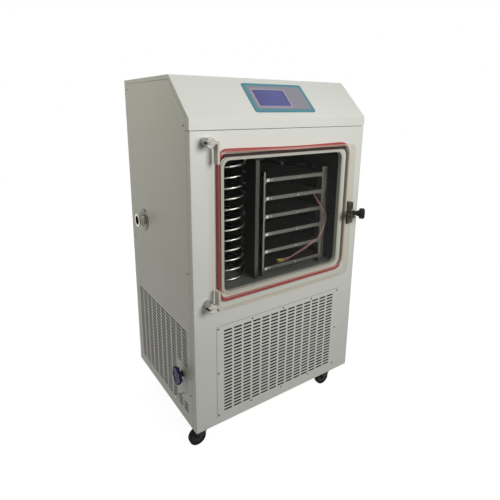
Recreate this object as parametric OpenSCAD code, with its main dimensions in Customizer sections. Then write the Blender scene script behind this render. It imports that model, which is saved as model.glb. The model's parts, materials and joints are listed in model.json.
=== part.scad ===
// Shelf freeze dryer: a vacuum chamber with heated shelves and a cold-trap coil, in a sheet-metal
// cabinet on four swivel casters. Millimetres. Everything is drawn about the cabinet's own centre
// with the cabinet's underside at Z = 0, the front towards -Y. placed() then lifts it onto its
// casters and centres the whole part on its footprint.

/* [Cabinet] */
// Width of the cabinet over its side panels
cab_w = 850; // [848:1:1000]
// Depth of the cabinet from front panel to rear panel
cab_d = 618; // [616:1:800]
// Height of the cabinet without its casters
body_h = 1370; // [1350:1:1500]
// Height that the sloped console rises
slope_rise = 146; // [130:1:160]
// Depth that the sloped console runs back
slope_run = 149; // [145:1:180]
// Height of the upright fascia below the console
fascia_h = 38; // [30:1:45]
// Thickness of the cabinet sheet
sheet_t = 2; // [1:0.1:2.4]
// Gap along each seam between two panels
seam = 1; // [0.5:0.1:2]
// Width of the hood's flange on the cabinet's side and back
hood_flange = 15; // [8:1:18]
// Width of the front panel's return on the cabinet's side
front_return = 26; // [20:1:34]
// Outside radius of the front panel's folded edges
fold_r = 4; // [3:0.1:5]
// Side of the square tube that the inner frame is welded from
tube_s = 30; // [20:1:32]
// Wall of that tube
tube_wall = 2; // [1:0.1:3]
// Height of the base tray's folded edge
tray_h = 32; // [15:1:38]
// Thickness of the base tray
tray_t = 3; // [2:0.1:4]

/* [Vents] */
// Width of the front vent panel
vent_w = 658; // [610:1:700]
// Height of the front vent panel
vent_h = 408; // [400:1:450]
// Height of the vent panel's lower edge above the cabinet's underside
vent_z = 33; // [25:1:45]
// Thickness of the vent panel
vent_t = 1.5; // [1:0.1:2]
// Width by which the vent panel overlaps its window
vent_lap = 16; // [10:1:18]
// Length of a vent slot
slot_l = 38.5; // [30:0.5:42]
// Height of a vent slot
slot_h = 7; // [4:0.5:9]
// Distance between two columns of front slots
slot_pitch_x = 46.3; // [45:0.1:48]
// Distance between two rows of slots
slot_pitch_z = 15; // [12:0.1:15.4]
// Number of slot columns in the front
slot_cols = 13; // [5:2:13]
// Number of slot rows
slot_rows = 25; // [16:1:25]
// Height of the lowest row's centre above the cabinet's underside
slot_z = 56.5; // [55:0.5:60]
// Distance between two columns of side slots
side_pitch = 51.6; // [48:0.1:53]
// Number of slot columns in a side
side_cols = 10; // [4:1:10]
// Diameter of a panel screw's head
screw_d = 8.4; // [6:0.1:9]
// Height of a panel screw's head
screw_h = 2; // [1:0.1:3]

/* [Console] */
// Width of the display panel on the slope
display_w = 295; // [260:1:400]
// Height of the display panel along the slope
display_h = 150; // [140:1:170]
// Thickness of the display panel
display_t = 3; // [2:0.1:4]
// Corner radius of the display panel
display_r = 9; // [2:1:16]
// Width of the touch screen
screen_w = 149; // [120:1:150]
// Height of the touch screen along the slope
screen_h = 83; // [70:1:88]
// Distance from the display panel's centre to the touch screen's centre
screen_shift = 40; // [30:1:44]
// Depth of the touch screen's case behind the slope
case_depth = 34; // [20:1:50]

/* [Chamber] */
// Width of the chamber's mouth
mouth_w = 590; // [586:1:592]
// Distance from the hood's lower edge down to the mouth
mouth_drop = 106; // [100:1:112]
// Corner radius of the mouth
mouth_r = 28; // [15:1:30]
// Height of the chamber's floor above the cabinet's underside
mouth_z = 578; // [570:1:582]
// Width by which the chamber is larger than its mouth at each side
chamber_lap = 6; // [4:0.5:8]
// Depth of the chamber behind its mouth flange
chamber_d = 480; // [470:1:484]
// Thickness of the chamber's wall
chamber_wall = 3; // [2:0.1:3.6]
// Width of the mouth flange's lip
lip_w = 12; // [10:1:13]
// Height by which the lip stands out of the front panel
lip_proud = 4; // [2:0.5:8]
// Depth of the mouth flange behind the front panel's face
flange_back = 14; // [12:1:20]
// Thickness of the chamber's insulation
insulation_t = 20; // [10:1:22]
// Width of the door gasket
gasket_w = 17; // [12:1:18]
// Distance from the mouth flange out to the gasket at each side
gasket_side = 13; // [9:0.5:13.5]
// Distance from the mouth flange up to the gasket
gasket_over = 12; // [8:0.5:14]
// Distance from the mouth flange down to the gasket
gasket_under = 3; // [2:0.5:10]
// Height by which the gasket stands out of the front panel
gasket_proud = 15.7; // [14:0.1:18]

/* [Door] */
// Width of the door plate outside the mouth at each side
door_side = 40; // [40:1:42]
// Height of the door plate below the mouth
door_below = 50; // [40:1:54]
// Height of the door plate above the mouth
door_above = 34; // [33:1:40]
// Thickness of the clear door plate
door_t = 28; // [22:1:30]
// Corner radius of the door plate
door_r = 30; // [10:1:34]
// Distance from the door plate's edge to the hinge axis
hinge_reach = 34; // [31:0.5:34.5]
// Distance from the front panel to the hinge axis
hinge_off = 38; // [38:0.5:44]
// Diameter of a hinge post
post_d = 34; // [28:1:36]
// Length of a hinge post beyond the hinge axis
post_nose = 11; // [11:0.5:13]
// Diameter of the hinge pins and of the latch pin
pin_d = 8; // [6:0.5:8]
// Thickness of the hinge tongue and of the hinge bar
bar_t = 8; // [6:0.5:9]
// Length of a hinge bar on the door's edge
bar_len = 77; // [60:1:80]
// Height of the upper hinge tongue above the door plate
upper_hinge = 33; // [26:0.5:34]
// Height of the lower hinge tongue above the door plate's lower edge
lower_hinge = 23; // [14:0.5:30]

/* [Latch] */
// Height of the latch above the cabinet's underside
latch_z = 805; // [780:1:900]
// Distance from the door plate's edge to the latch pivot
latch_reach = 15; // [14.5:0.5:18]
// Distance from the front panel to the latch pivot
latch_off = 17; // [16:0.5:19]
// Height of one ear of the latch bracket
ear_h = 33; // [20:1:36]
// Gap between the two ears
ear_gap = 34; // [27:1:36]
// Depth of the latch bracket
bracket_d = 28; // [25:1:29]
// Diameter of the swing bolt's shank
shank_d = 24; // [14:1:24]
// Diameter of the swing bolt's rod
bolt_d = 16; // [12:0.5:16]
// Outward swing of the bolt when it is out of the lug
swing_rest = 45; // [44:1:50]
// Distance from the latch pivot to the knob
knob_start = 33; // [33:0.5:36]
// Diameter of the clamp knob's head
knob_d = 48; // [40:1:50]
// Length of the clamp knob's head
knob_len = 23; // [14:1:26]
// Diameter of the clamp knob's neck
neck_d = 28; // [24:1:28]
// Length of the clamp knob's neck
neck_len = 11; // [8:1:14]
// Length of the lug on the door
lug_len = 52; // [48:1:60]
// Height of the lug on the door
lug_h = 32; // [30:1:34]
// Thickness of the lug on the door
lug_t = 4; // [3:0.1:4]

/* [Shelves] */
// Number of shelves
shelf_count = 6; // [6:1:6]
// Width of a shelf
shelf_w = 308; // [280:1:312]
// Depth of a shelf
shelf_d = 400; // [380:1:410]
// Thickness of a shelf
shelf_t = 15; // [10:1:18]
// Height of the lowest shelf's middle above the chamber's floor
shelf_first = 28; // [20:1:30]
// Distance from the mouth's left edge to the shelves
shelf_inset = 223; // [220:1:226]
// Distance from the front panel's face to the shelves
shelf_back = 47; // [45:1:52]
// Distance from the mouth's top down to the rack's top
rack_drop = 66; // [60:1:70]
// Height of the rack above its top shelf's middle
rack_over = 33; // [24:1:36]
// Thickness of a rack post
post_t = 8; // [5:0.5:9]
// Depth of a rack post
post_w = 30; // [20:1:32]

/* [Cold trap] */
// Radius of the cold-trap coil at the middle of its tube
coil_r = 77; // [60:1:78]
// Diameter of the coil's tube
coil_d = 10; // [6:0.5:12]
// Distance from the mouth's top down to the coil's last turn
coil_drop = 28.5; // [26:0.5:90]
// Distance from the mouth's left edge to the coil's axis
coil_inset = 105; // [100:1:106]
// Distance from the front panel's face to the coil's axis
coil_back = 159; // [140:1:170]
// Number of the coil's turns
coil_turns = 11.25; // [8.25:1:11.25]

/* [Services] */
// Inside diameter of the vacuum port
port_bore = 40.5; // [34:0.5:44]
// Wall of the vacuum port's tube
port_wall = 2; // [1.5:0.1:3]
// Diameter of the vacuum port's flange
port_flange_d = 57; // [54:0.5:60]
// Distance from the side panel to the vacuum port's face
port_reach = 33; // [20:1:37]
// Diameter of the port's rosette
rosette_d = 96; // [70:1:110]
// Height of the vacuum port above the cabinet's underside
port_z = 779; // [700:1:900]
// Distance from the cabinet's middle back to the vacuum port
port_y = 150; // [120:1:155]
// Diameter of the drain nozzle
nozzle_d = 8; // [6:0.5:10]
// Distance from the side panel to the nozzle's end
nozzle_reach = 38; // [38:1:60]
// Height of the drain nozzle above the cabinet's underside
nozzle_z = 121; // [112:1:140]
// Height of the drain valve above the cabinet's underside
valve_z = 214; // [200:1:225]
// Distance from the cabinet's middle forward to the drain valve
valve_y = 202; // [196:1:204]
// Diameter of the drain valve's handwheel
wheel_d = 73; // [60:1:80]
// Thickness of the drain valve's handwheel
wheel_t = 14; // [8:1:16]

/* [Machinery] */
// Diameter of a compressor's shell
comp_d = 168; // [130:1:180]
// Height of a compressor's shell
comp_h = 290; // [240:1:320]
// Diameter of the condenser fan
fan_d = 290; // [220:1:300]
// Depth of the condenser
condenser_t = 45; // [30:1:48]
// Side of a compressor's base plate
comp_base = 180; // [170:1:188]
// Height of the shelf-oil tank
tank_h = 300; // [200:1:340]
// Width of the shelf-oil tank
tank_w = 190; // [150:1:200]
// Depth of the shelf-oil tank
tank_d = 240; // [200:1:250]
// Width of the electrical box
box_w = 370; // [300:1:380]
// Height of the electrical box
box_h = 350; // [250:1:360]
// Height of the electrical box above the cabinet's underside
box_z = 760; // [740:1:780]

/* [Casters] */
// Height of a caster
caster_h = 105; // [100:0.5:125]
// Diameter of a caster wheel
wheel_od = 75; // [60:0.5:80]
// Width of a caster wheel
wheel_w = 26; // [18:0.5:32]
// Distance from a caster's swivel axis back to its axle
trail = 38; // [20:0.5:42]
// Distance from the cabinet's side to a caster's swivel axis
caster_side = 70; // [60:1:100]
// Distance from the cabinet's front or rear to a caster's swivel axis
caster_front = 59; // [55:1:100]

/* [Fits] */
// Radial running clearance of a pin or shaft in its hole
run_gap = 0.05; // [0.02:0.01:0.1]
// Gap between two pieces that seat on each other
seat_gap = 0.3; // [0.2:0.05:0.5]

/* [Hidden] */
$fn = 64;
eps = 0.01;
cut = 1;

// Cabinet faces and the hood's side profile
hx = cab_w / 2;
fy = -cab_d / 2;
ry = cab_d / 2;
slope_z = body_h - slope_rise;
hood_z = slope_z - fascia_h;
slope_a = atan2(slope_rise, slope_run);
slope_len = norm([slope_rise, slope_run]);
panel_top = hood_z - 2 * seam;
in_x = hx - sheet_t;

// Mouth, flange, gasket and door
mouth_hw = mouth_w / 2;
mouth_top = hood_z - mouth_drop;
mouth_h = mouth_top - mouth_z;
mouth_cz = (mouth_z + mouth_top) / 2;
room_hw = mouth_hw + chamber_lap;
room_z0 = mouth_z - chamber_lap;
room_z1 = mouth_top + chamber_lap;
room_r = mouth_r + chamber_lap;
flange_w = mouth_w + 2 * lip_w;
flange_h = mouth_h + 2 * lip_w;
flange_r = mouth_r + lip_w;
shell_y = fy + flange_back;
shell_end = shell_y + chamber_d;
door_back = fy - gasket_proud - seat_gap;
door_face = door_back - door_t;
door_hw = mouth_hw + door_side;
door_z0 = mouth_z - door_below;
door_z1 = mouth_top + door_above;
hinge_x = -door_hw - hinge_reach;
hinge_y = fy - hinge_off;
post_zu = door_z1 + upper_hinge;
post_zl = door_z0 + lower_hinge;
post_end = hinge_y - post_nose;
slot_depth = 15;
eye_r = 10;

// Latch
latch_x = door_hw + latch_reach;
latch_y = fy - latch_off;
bracket_w = 24;
bracket_t = 3;
bolt_eye_r = 12;
shank_len = 24.5;
head_start = knob_start + neck_len;
knob_end = head_start + knob_len;
knob_cap = 7;
lug_tip = latch_x + 8;
lug_slot = bolt_d + 5;
lug_screw_l = 25;
eye_h = shank_d + 1.4;
washer_t = (ear_gap - eye_h) / 2 - seat_gap;

// Chamber contents
shelf_x0 = shelf_inset - mouth_hw;
shelf_x1 = shelf_x0 + shelf_w;
shelf_y0 = fy + shelf_back;
shelf_y1 = shelf_y0 + shelf_d;
rack_top = mouth_top - rack_drop;
shelf_pitch = (rack_top - rack_over - mouth_z - shelf_first) / (shelf_count - 1);
function shelf_z(i) = mouth_z + shelf_first + i * shelf_pitch;
post_x0 = shelf_x0 - seat_gap - post_t;
post_x1 = shelf_x1 + seat_gap;
angle_w = 30;
angle_t = 3;
toe_gap = 2;
floor_z = room_z0 + seat_gap;
coil_x = coil_inset - mouth_hw;
coil_y = fy + coil_back;
coil_a0 = 236;
coil_z0 = room_z0 + coil_d / 2 + 2;
coil_z1 = mouth_top - coil_drop;
coil_pitch = (coil_z1 - coil_z0) / coil_turns;
coil_a1 = coil_a0 + 360 * coil_turns;
coil_step = 18;
coil_tail = 30;
manifold_x = (shelf_x1 + room_hw) / 2 + 4;
manifold_ys = [shelf_y1 - 75, shelf_y1 - 45];
manifold_d = 16;
baffle_x = shelf_x0 - 32;

// Services on the left side
port_or = port_bore / 2 + port_wall;
side_mid = 8;
nozzle_wall = 1.2;
pipe_d = 10;
pipe_x = -hx + 26;
drain_x = -mouth_hw + 108;
stem_d = 10;
wheel_mid = 26;
gland_z = shelf_z(1) - 13 + shelf_pitch * 3;
gland_ys = [fy + 97, fy + 112];
inlet_y = fy + 31;
inlet_z = mouth_z + 12;
inlet_d = 12;
inlet_seat = room_hw - room_r - seat_gap
  + sqrt(pow(room_r, 2) - pow(room_z0 + room_r - inlet_z + inlet_d / 2, 2));
wire_d = 3;
tip_d = 4.4;
tip_len = 22;

// Machinery in the lower compartment and behind the chamber
floor_in = tray_t;
cond_w = vent_w - 90;
cond_y = fy + 19;
cond_z0 = vent_z + 12;
cond_z1 = vent_z + vent_h - 16;
fan_z = (cond_z0 + cond_z1) / 2;
shroud_y = cond_y + condenser_t + seat_gap;
fan_y = shroud_y + 8;
fan_t = 30;
arm_y = fan_y + fan_t + 4;
arm_t = 4;
motor_d = 90;
motor_len = 66;
shaft_d = 10;
comp_y = fy + 400;
comp_xs = [-comp_base - 15, 0];

// Casters
caster_xs = [-(hx - caster_side), hx - caster_side];
caster_ys = [fy + caster_front, ry - caster_front];
caster_turns = [0, 90];
axle_z = -(caster_h - wheel_od / 2);
axle_d = 8;
king_d = 12;
plate_s = 76;
plate_t = 3;
web_t = 5.7;
web_z0 = -plate_t - seat_gap - web_t;
nut_t = 4;
leg_t = 3;
leg_in = wheel_w / 2 + 1;
head_gap = 0.1;

// Footprint of the whole part, for its origin
left_reach = hx + max(nozzle_reach, port_reach, wheel_mid + wheel_t / 2);
swing_c = cos(swing_rest);
swing_s = sin(swing_rest);
rim = 4;
knob_right = max((knob_end - rim) * swing_s + knob_d / 2 * swing_c,
  knob_end * swing_s + (knob_d / 2 - rim) * swing_c);
knob_front = max((knob_end - rim) * swing_c + knob_d / 2 * swing_s,
  knob_end * swing_c + (knob_d / 2 - rim) * swing_s);
right_reach = max(hx + screw_h, latch_x + knob_right);
front_reach = max(-latch_y + knob_front, -door_face + lug_t + seat_gap + 4);
gland_len = 14;
rear_reach = ry + gland_len;
shift_x = (left_reach - right_reach) / 2;
shift_y = (front_reach - rear_reach) / 2;

module placed() { translate([shift_x, shift_y, caster_h]) children(); }

// ---- outlines ----

function unit(v) = v / norm(v);
function turned(a) = a > 180 ? a - 360 : (a < -180 ? a + 360 : a);

// The round stretch at corner p between its neighbours a and b
function corner(a, p, b, r, n) =
  let(u = unit(a - p), v = unit(b - p), half = acos(u * v) / 2)
  let(c = p + unit(u + v) * r / sin(half))
  let(s = p + u * r / tan(half) - c, e = p + v * r / tan(half) - c)
  let(a0 = atan2(s[1], s[0]), da = turned(atan2(e[1], e[0]) - atan2(s[1], s[0])))
  [for (i = [0 : n]) c + r * [cos(a0 + da * i / n), sin(a0 + da * i / n)]];

// An outline with each corner rounded to its own radius, 0 for a sharp one
function rounded(pts, radii, n = 6) =
  [for (i = [0 : len(pts) - 1])
    let(m = len(pts), a = pts[(i + m - 1) % m], b = pts[(i + 1) % m])
    each (radii[i] > 0 ? corner(a, pts[i], b, radii[i], n) : [pts[i]])];

// A rectangle with round corners of true circular form
module rrect(w, h, r) {
  square([w - 2 * r, h], center = true);
  square([w, h - 2 * r], center = true);
  for (sx = [-1, 1], sy = [-1, 1])
    translate([sx * (w / 2 - r), sy * (h / 2 - r)]) circle(r);
}

// Stands an XY outline up in the XZ plane, its thickness running from y0 to y1
module upright(y0, y1) {
  translate([0, y1, 0]) rotate([90, 0, 0]) linear_extrude(y1 - y0) children();
}

// Draws a YZ outline as a sheet or bar running from x0 to x1
module across(x0, x1) {
  translate([x0, 0, 0]) rotate([90, 0, 90]) linear_extrude(x1 - x0) children();
}

// A box by its two corners
module block(a, b) { translate(a) cube(b - a); }

// A cylinder along X, Y or Z from its starting point
module rod_x(p, d, l) { translate(p) rotate([0, 90, 0]) cylinder(d = d, h = l); }
module rod_y(p, d, l) { translate(p) rotate([-90, 0, 0]) cylinder(d = d, h = l); }
module rod_z(p, d, l) { translate(p) cylinder(d = d, h = l); }

// A round pipe through its points, with a brazed ball at each corner
module pipe(pts, d) {
  for (i = [0 : len(pts) - 2]) {
    a = pts[i];
    v = pts[i + 1] - a;
    translate(a)
      rotate([0, acos(v[2] / norm(v)), atan2(v[1], v[0])]) cylinder(d = d, h = norm(v), $fn = 32);
    if (i > 0) translate(a) sphere(d = d + 1.5, $fn = 32);
  }
}

// A half-round section swept round a rounded rectangle in the XZ plane, standing towards -Y
module ring_section(w, h) {
  translate([-w / 2, 0]) square([w, h - w / 2]);
  translate([0, h - w / 2]) intersection() {
    circle(w / 2, $fn = 48);
    translate([-w, 0]) square([2 * w, w]);
  }
}
module swept_ring(rw, rh, rr, w, h) {
  for (q = [0 : 3]) {
    sx = q == 0 || q == 3 ? 1 : -1;
    sz = q < 2 ? 1 : -1;
    translate([sx * (rw / 2 - rr), 0, sz * (rh / 2 - rr)])
      rotate([90, 0, 0]) rotate([0, 0, 90 * q])
        rotate_extrude(angle = 90) translate([rr, 0]) ring_section(w, h);
  }
  for (s = [-1, 1]) {
    translate([s * rw / 2, 0, -(rh / 2 - rr)]) linear_extrude(rh - 2 * rr)
      mirror([0, 1]) ring_section(w, h);
    translate([-(rw / 2 - rr), 0, s * rh / 2]) rotate([0, 90, 0]) linear_extrude(rw - 2 * rr)
      mirror([0, 1]) ring_section(w, h);
  }
}

// ---- cabinet ----

// Corners of the hood's profile, set in from its front, slope and roof faces
function foot_pt(dy, ds) = [fy + dy, slope_z + dy * tan(slope_a) - ds / cos(slope_a)];
function ridge_pt(ds, dz) =
  [fy + (slope_rise - dz + ds / cos(slope_a)) / tan(slope_a), body_h - dz];

module base_tray() {
  ox = in_x - seat_gap;
  oy = cab_d / 2 - sheet_t - seat_gap;
  color("gainsboro") difference() {
    linear_extrude(tray_h) rrect(2 * ox, 2 * oy, fold_r);
    block([-ox + tray_t, -oy + tray_t, tray_t], [ox - tray_t, oy - tray_t, tray_h + cut]);
  }
}

frame_x = in_x - seat_gap - tray_t - seat_gap - tube_s / 2;
frame_yf = fy + sheet_t + 2 * seat_gap + tray_t + tube_s / 2;
frame_yr = ry - sheet_t - 2 * seat_gap - tray_t - tube_s / 2;
bearer_z1 = room_z0 - chamber_wall - insulation_t - 2 * seat_gap;
rail_z1 = bearer_z1 - tube_s - seat_gap;

// A length of square tube along Z, Y or X, by its centre line's start
module tube_section() {
  difference() {
    square(tube_s, center = true);
    square(tube_s - 2 * tube_wall, center = true);
  }
}

module inner_frame() {
  color("dimgray") {
    for (sx = [-1, 1]) {
      translate([sx * frame_x, frame_yf, tray_t + seat_gap])
        linear_extrude(slope_z - 30 - tray_t) tube_section();
      translate([sx * frame_x, frame_yr, tray_t + seat_gap])
        linear_extrude(body_h - sheet_t - tray_t - 2 * seat_gap) tube_section();
      translate([sx * frame_x, frame_yf + tube_s / 2 + seat_gap, rail_z1 - tube_s / 2])
        rotate([-90, 0, 0])
          linear_extrude(frame_yr - frame_yf - tube_s - 2 * seat_gap) tube_section();
    }
    for (y = [shell_y + 40, shell_end - 40])
      translate([-frame_x, y, bearer_z1 - tube_s / 2])
        rotate([0, 90, 0]) linear_extrude(2 * frame_x) tube_section();
  }
}

// One rounded slot outline
module slot2d() {
  square([slot_l - slot_h, slot_h], center = true);
  for (s = [-1, 1]) translate([s * (slot_l - slot_h) / 2, 0]) circle(d = slot_h, $fn = 24);
}

module front_slots() {
  for (i = [0 : slot_cols - 1], j = [0 : slot_rows - 1])
    translate([(i - (slot_cols - 1) / 2) * slot_pitch_x, slot_z + j * slot_pitch_z]) slot2d();
}

// The side's slots; the first two columns leave a blank field round the drain valve when asked
function in_blank(i, z) = i < 2 && z > nozzle_z - 27 && z < valve_z + 46;
module side_slots(blank) {
  for (i = [0 : side_cols - 1], j = [0 : slot_rows - 1]) {
    z = slot_z + j * slot_pitch_z;
    if (!(blank && in_blank(i, z)))
      translate([side_mid + (i - (side_cols - 1) / 2) * side_pitch, z]) slot2d();
  }
}

// Screw places on the vent panel and on a side panel
vent_screw_x = vent_w / 2 - 7;
vent_screws = concat(
  [for (k = [-2 : 2], z = [9, vent_h - 10]) [k * vent_screw_x / 2, vent_z + z]],
  [for (s = [-1, 1]) [s * vent_screw_x, vent_z + vent_h / 2]]);
screw_low = 150;
screw_mid = 671;
side_screws = [
  [fy + 42, panel_top + 17], [fy + 39, screw_mid], [fy + 41, screw_low],
  [ry - 33, body_h - 39], [ry - 33, screw_mid], [ry - 33, screw_low]];
rear_screws =
  [for (s = [-1, 1], z = [screw_low, screw_mid, body_h - 39]) [s * (hx - 44), z]];

module front_panel() {
  color("gainsboro") difference() {
    linear_extrude(panel_top) {
      translate([-hx + fold_r, fy]) square([cab_w - 2 * fold_r, sheet_t]);
      for (s = [-1, 1]) {
        translate([s * (hx - fold_r), fy + fold_r]) intersection() {
          difference() {
            circle(fold_r);
            circle(fold_r - sheet_t);
          }
          translate([s > 0 ? 0 : -fold_r, -fold_r]) square(fold_r);
        }
        translate([s * (hx - sheet_t / 2) - sheet_t / 2, fy + fold_r])
          square([sheet_t, front_return - fold_r]);
      }
    }
    translate([0, 0, mouth_cz]) upright(fy - cut, fy + sheet_t + cut)
      rrect(flange_w + 2 * seat_gap, flange_h + 2 * seat_gap, flange_r + seat_gap);
    upright(fy - cut, fy + sheet_t + cut)
      translate([-vent_w / 2 + vent_lap, vent_z + vent_lap])
        square([vent_w - 2 * vent_lap, vent_h - 2 * vent_lap]);
    for (p = vent_screws) rod_y([p[0], fy - cut, p[1]], 3.4, sheet_t + 2 * cut);
  }
}

module vent_panel() {
  color("silver") difference() {
    upright(fy - vent_t, fy) difference() {
      translate([-vent_w / 2, vent_z]) square([vent_w, vent_h]);
      front_slots();
    }
    for (p = vent_screws) rod_y([p[0], fy - vent_t - cut, p[1]], 4.2, vent_t + 2 * cut);
  }
}

side_outline = [
  [fy + front_return + seam, 0], foot_pt(front_return + seam, hood_flange + seam),
  ridge_pt(hood_flange + seam, hood_flange + seam), [ry, body_h - hood_flange - seam], [ry, 0]];

module side_panel(s, blank) {
  color("darkgray") difference() {
    across(s > 0 ? hx - sheet_t : -hx, s > 0 ? hx : -hx + sheet_t) difference() {
      polygon(side_outline);
      side_slots(blank);
    }
    for (p = side_screws) rod_x([s * hx - 5, p[0], p[1]], 3.4, 10);
    children();
  }
}

module left_side_panel() {
  side_panel(-1, true) {
    rod_x([-hx - 5, port_y, port_z], 2 * port_or + 3, 10);
    rod_x([-hx - 5, -valve_y, valve_z], 28, 10);
    rod_x([-hx - 5, -valve_y, nozzle_z], pipe_d + 2, 10);
  }
}

module right_side_panel() { side_panel(1, false); }

module rear_panel() {
  w = 2 * (in_x - seat_gap);
  color("darkgray") difference() {
    block([-w / 2, ry - sheet_t, 0], [w / 2, ry, body_h - hood_flange - seam]);
    rod_y([hx - 90, ry - 5, 110], 20.4, 10);
    for (p = rear_screws) rod_y([p[0], ry - 5, p[1]], 3.4, 10);
  }
}

hood_outer = [
  [fy, hood_z], foot_pt(0, 0), ridge_pt(0, 0), [ry, body_h], [ry, hood_z]];
hood_inner = [
  [fy + sheet_t, hood_z - cut], foot_pt(sheet_t, sheet_t), ridge_pt(sheet_t, sheet_t),
  [ry - sheet_t, body_h - sheet_t], [ry - sheet_t, hood_z - cut]];
hood_open = [
  [fy + front_return, hood_z - cut], foot_pt(front_return, hood_flange),
  ridge_pt(hood_flange, hood_flange), [ry + cut, body_h - hood_flange], [ry + cut, hood_z - cut]];

// Places an XY drawing on the sloped console: X across, Y up the slope, Z out of it
module on_slope() { translate([0, fy, slope_z]) rotate([slope_a, 0, 0]) children(); }
display_s = slope_len / 2 - 2;
display_x = 5;
screen_x = display_x - screen_shift;
screen_s = display_s - 3;

module hood() {
  color("gainsboro") difference() {
    across(-hx, hx) polygon(rounded(hood_outer, [0, 3, 3, 3, 0]));
    across(-in_x, in_x) polygon(hood_inner);
    across(-hx - cut, hx + cut) polygon(hood_open);
    on_slope() translate([screen_x, screen_s, -2 * sheet_t])
      linear_extrude(4 * sheet_t) square([screen_w - 10, screen_h - 10], center = true);
  }
}

// A pan-head screw along -Y or towards a side, its shank in the sheet
module head_screw(l) {
  difference() {
    union() {
      cylinder(d1 = screw_d, d2 = screw_d - 2.4, h = screw_h, $fn = 24);
      translate([0, 0, -l]) cylinder(d = 3.2, h = l + eps, $fn = 24);
    }
    for (a = [0, 90]) rotate([0, 0, a]) translate([0, 0, screw_h]) cube([3.2, 0.8, 1.6], center = true);
  }
}

module cabinet_screws() {
  color("silver") {
    for (p = vent_screws)
      translate([p[0], fy - vent_t, p[1]]) rotate([90, 0, 0]) head_screw(vent_t + sheet_t + 4);
    for (s = [-1, 1], p = side_screws)
      translate([s * hx, p[0], p[1]]) rotate([0, s * 90, 0]) head_screw(sheet_t + 3);
    for (p = rear_screws) translate([p[0], ry, p[1]]) rotate([-90, 0, 0]) head_screw(sheet_t + 3);
  }
}

// ---- console ----

module display_panel() {
  color("steelblue") on_slope() translate([display_x, display_s, 0]) linear_extrude(display_t)
    difference() {
      rrect(display_w, display_h, display_r);
      translate([-screen_shift, screen_s - display_s])
        square([screen_w + 2 * seat_gap, screen_h + 2 * seat_gap], center = true);
    }
}

module touch_screen() {
  color("darkslateblue") on_slope() translate([screen_x, screen_s, 0]) {
    translate([-screen_w / 2, -screen_h / 2, 0]) cube([screen_w, screen_h, display_t - 0.8]);
    translate([-screen_w / 2 + 6, -screen_h / 2 + 6, -case_depth])
      cube([screen_w - 12, screen_h - 12, case_depth + eps]);
  }
}

// ---- chamber ----

coil_end = [for (a = [coil_a0, coil_a1]) [coil_x + coil_r * cos(a), coil_y + coil_r * sin(a)]];

module chamber_shell() {
  w = 2 * room_hw;
  h = room_z1 - room_z0;
  t = chamber_wall;
  color("dimgray") difference() {
    translate([0, 0, mouth_cz]) upright(shell_y, shell_end + t)
      rrect(w + 2 * t, h + 2 * t, room_r + t);
    translate([0, 0, mouth_cz]) upright(shell_y - cut, shell_end) rrect(w, h, room_r);
    rod_x([-room_hw - 2 * t, port_y, port_z], port_bore + 2 * seat_gap, 3 * t);
    rod_z([coil_end[0][0], coil_end[0][1], room_z0 - 2 * t], coil_d + 2 * seat_gap, 3 * t);
    rod_z([coil_end[1][0], coil_end[1][1], room_z1 - t], coil_d + 2 * seat_gap, 3 * t);
    for (y = manifold_ys)
      rod_z([manifold_x, y, room_z0 - 2 * t], manifold_d + 2 * seat_gap, room_r);
    for (y = gland_ys) rod_x([room_hw - t, y, gland_z], 8.4, 3 * t);
    rod_x([inlet_seat - cut, inlet_y, inlet_z], 8.4, room_hw - inlet_seat + 3 * t);
    rod_z([drain_x, -valve_y, room_z0 - 2 * t], pipe_d - 2, 3 * t);
  }
}

module mouth_flange() {
  color("whitesmoke") translate([0, 0, mouth_cz]) upright(fy - lip_proud, shell_y) difference() {
    rrect(flange_w, flange_h, flange_r);
    rrect(mouth_w, mouth_h, mouth_r);
  }
}

module insulation_jacket() {
  g = chamber_wall + seat_gap;
  o = g + insulation_t;
  color("black") difference() {
    translate([0, 0, mouth_cz]) upright(shell_y + 6, shell_end + o)
      square([2 * (room_hw + o), room_z1 - room_z0 + 2 * o], center = true);
    translate([0, 0, mouth_cz]) upright(shell_y - cut, shell_end + g)
      square([2 * (room_hw + g), room_z1 - room_z0 + 2 * g], center = true);
    rod_x([-room_hw - 2 * o, port_y, port_z], 2 * port_or + 2 * seat_gap, 2 * o);
    rod_z([coil_end[0][0], coil_end[0][1], room_z0 - 2 * o], coil_d + 4, 2 * o);
    rod_z([coil_end[1][0], coil_end[1][1], room_z1], coil_d + 4, 2 * o);
    for (y = manifold_ys) rod_z([manifold_x, y, room_z0 - 2 * o], manifold_d + 4, 2 * o);
    rod_z([drain_x, -valve_y, room_z0 - 2 * o], pipe_d + 4, 2 * o);
    for (y = gland_ys) rod_x([room_hw, y, gland_z], 14, 2 * o);
    rod_x([room_hw, inlet_y, inlet_z], 14, 2 * o);
  }
}

module door_gasket() {
  color("firebrick") translate([0, fy, mouth_cz + (gasket_over - gasket_under) / 2])
    swept_ring(flange_w + 2 * gasket_side + gasket_w, flange_h + gasket_over + gasket_under + gasket_w,
      flange_r + gasket_w / 2, gasket_w, gasket_proud);
}

// ---- shelves ----

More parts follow.
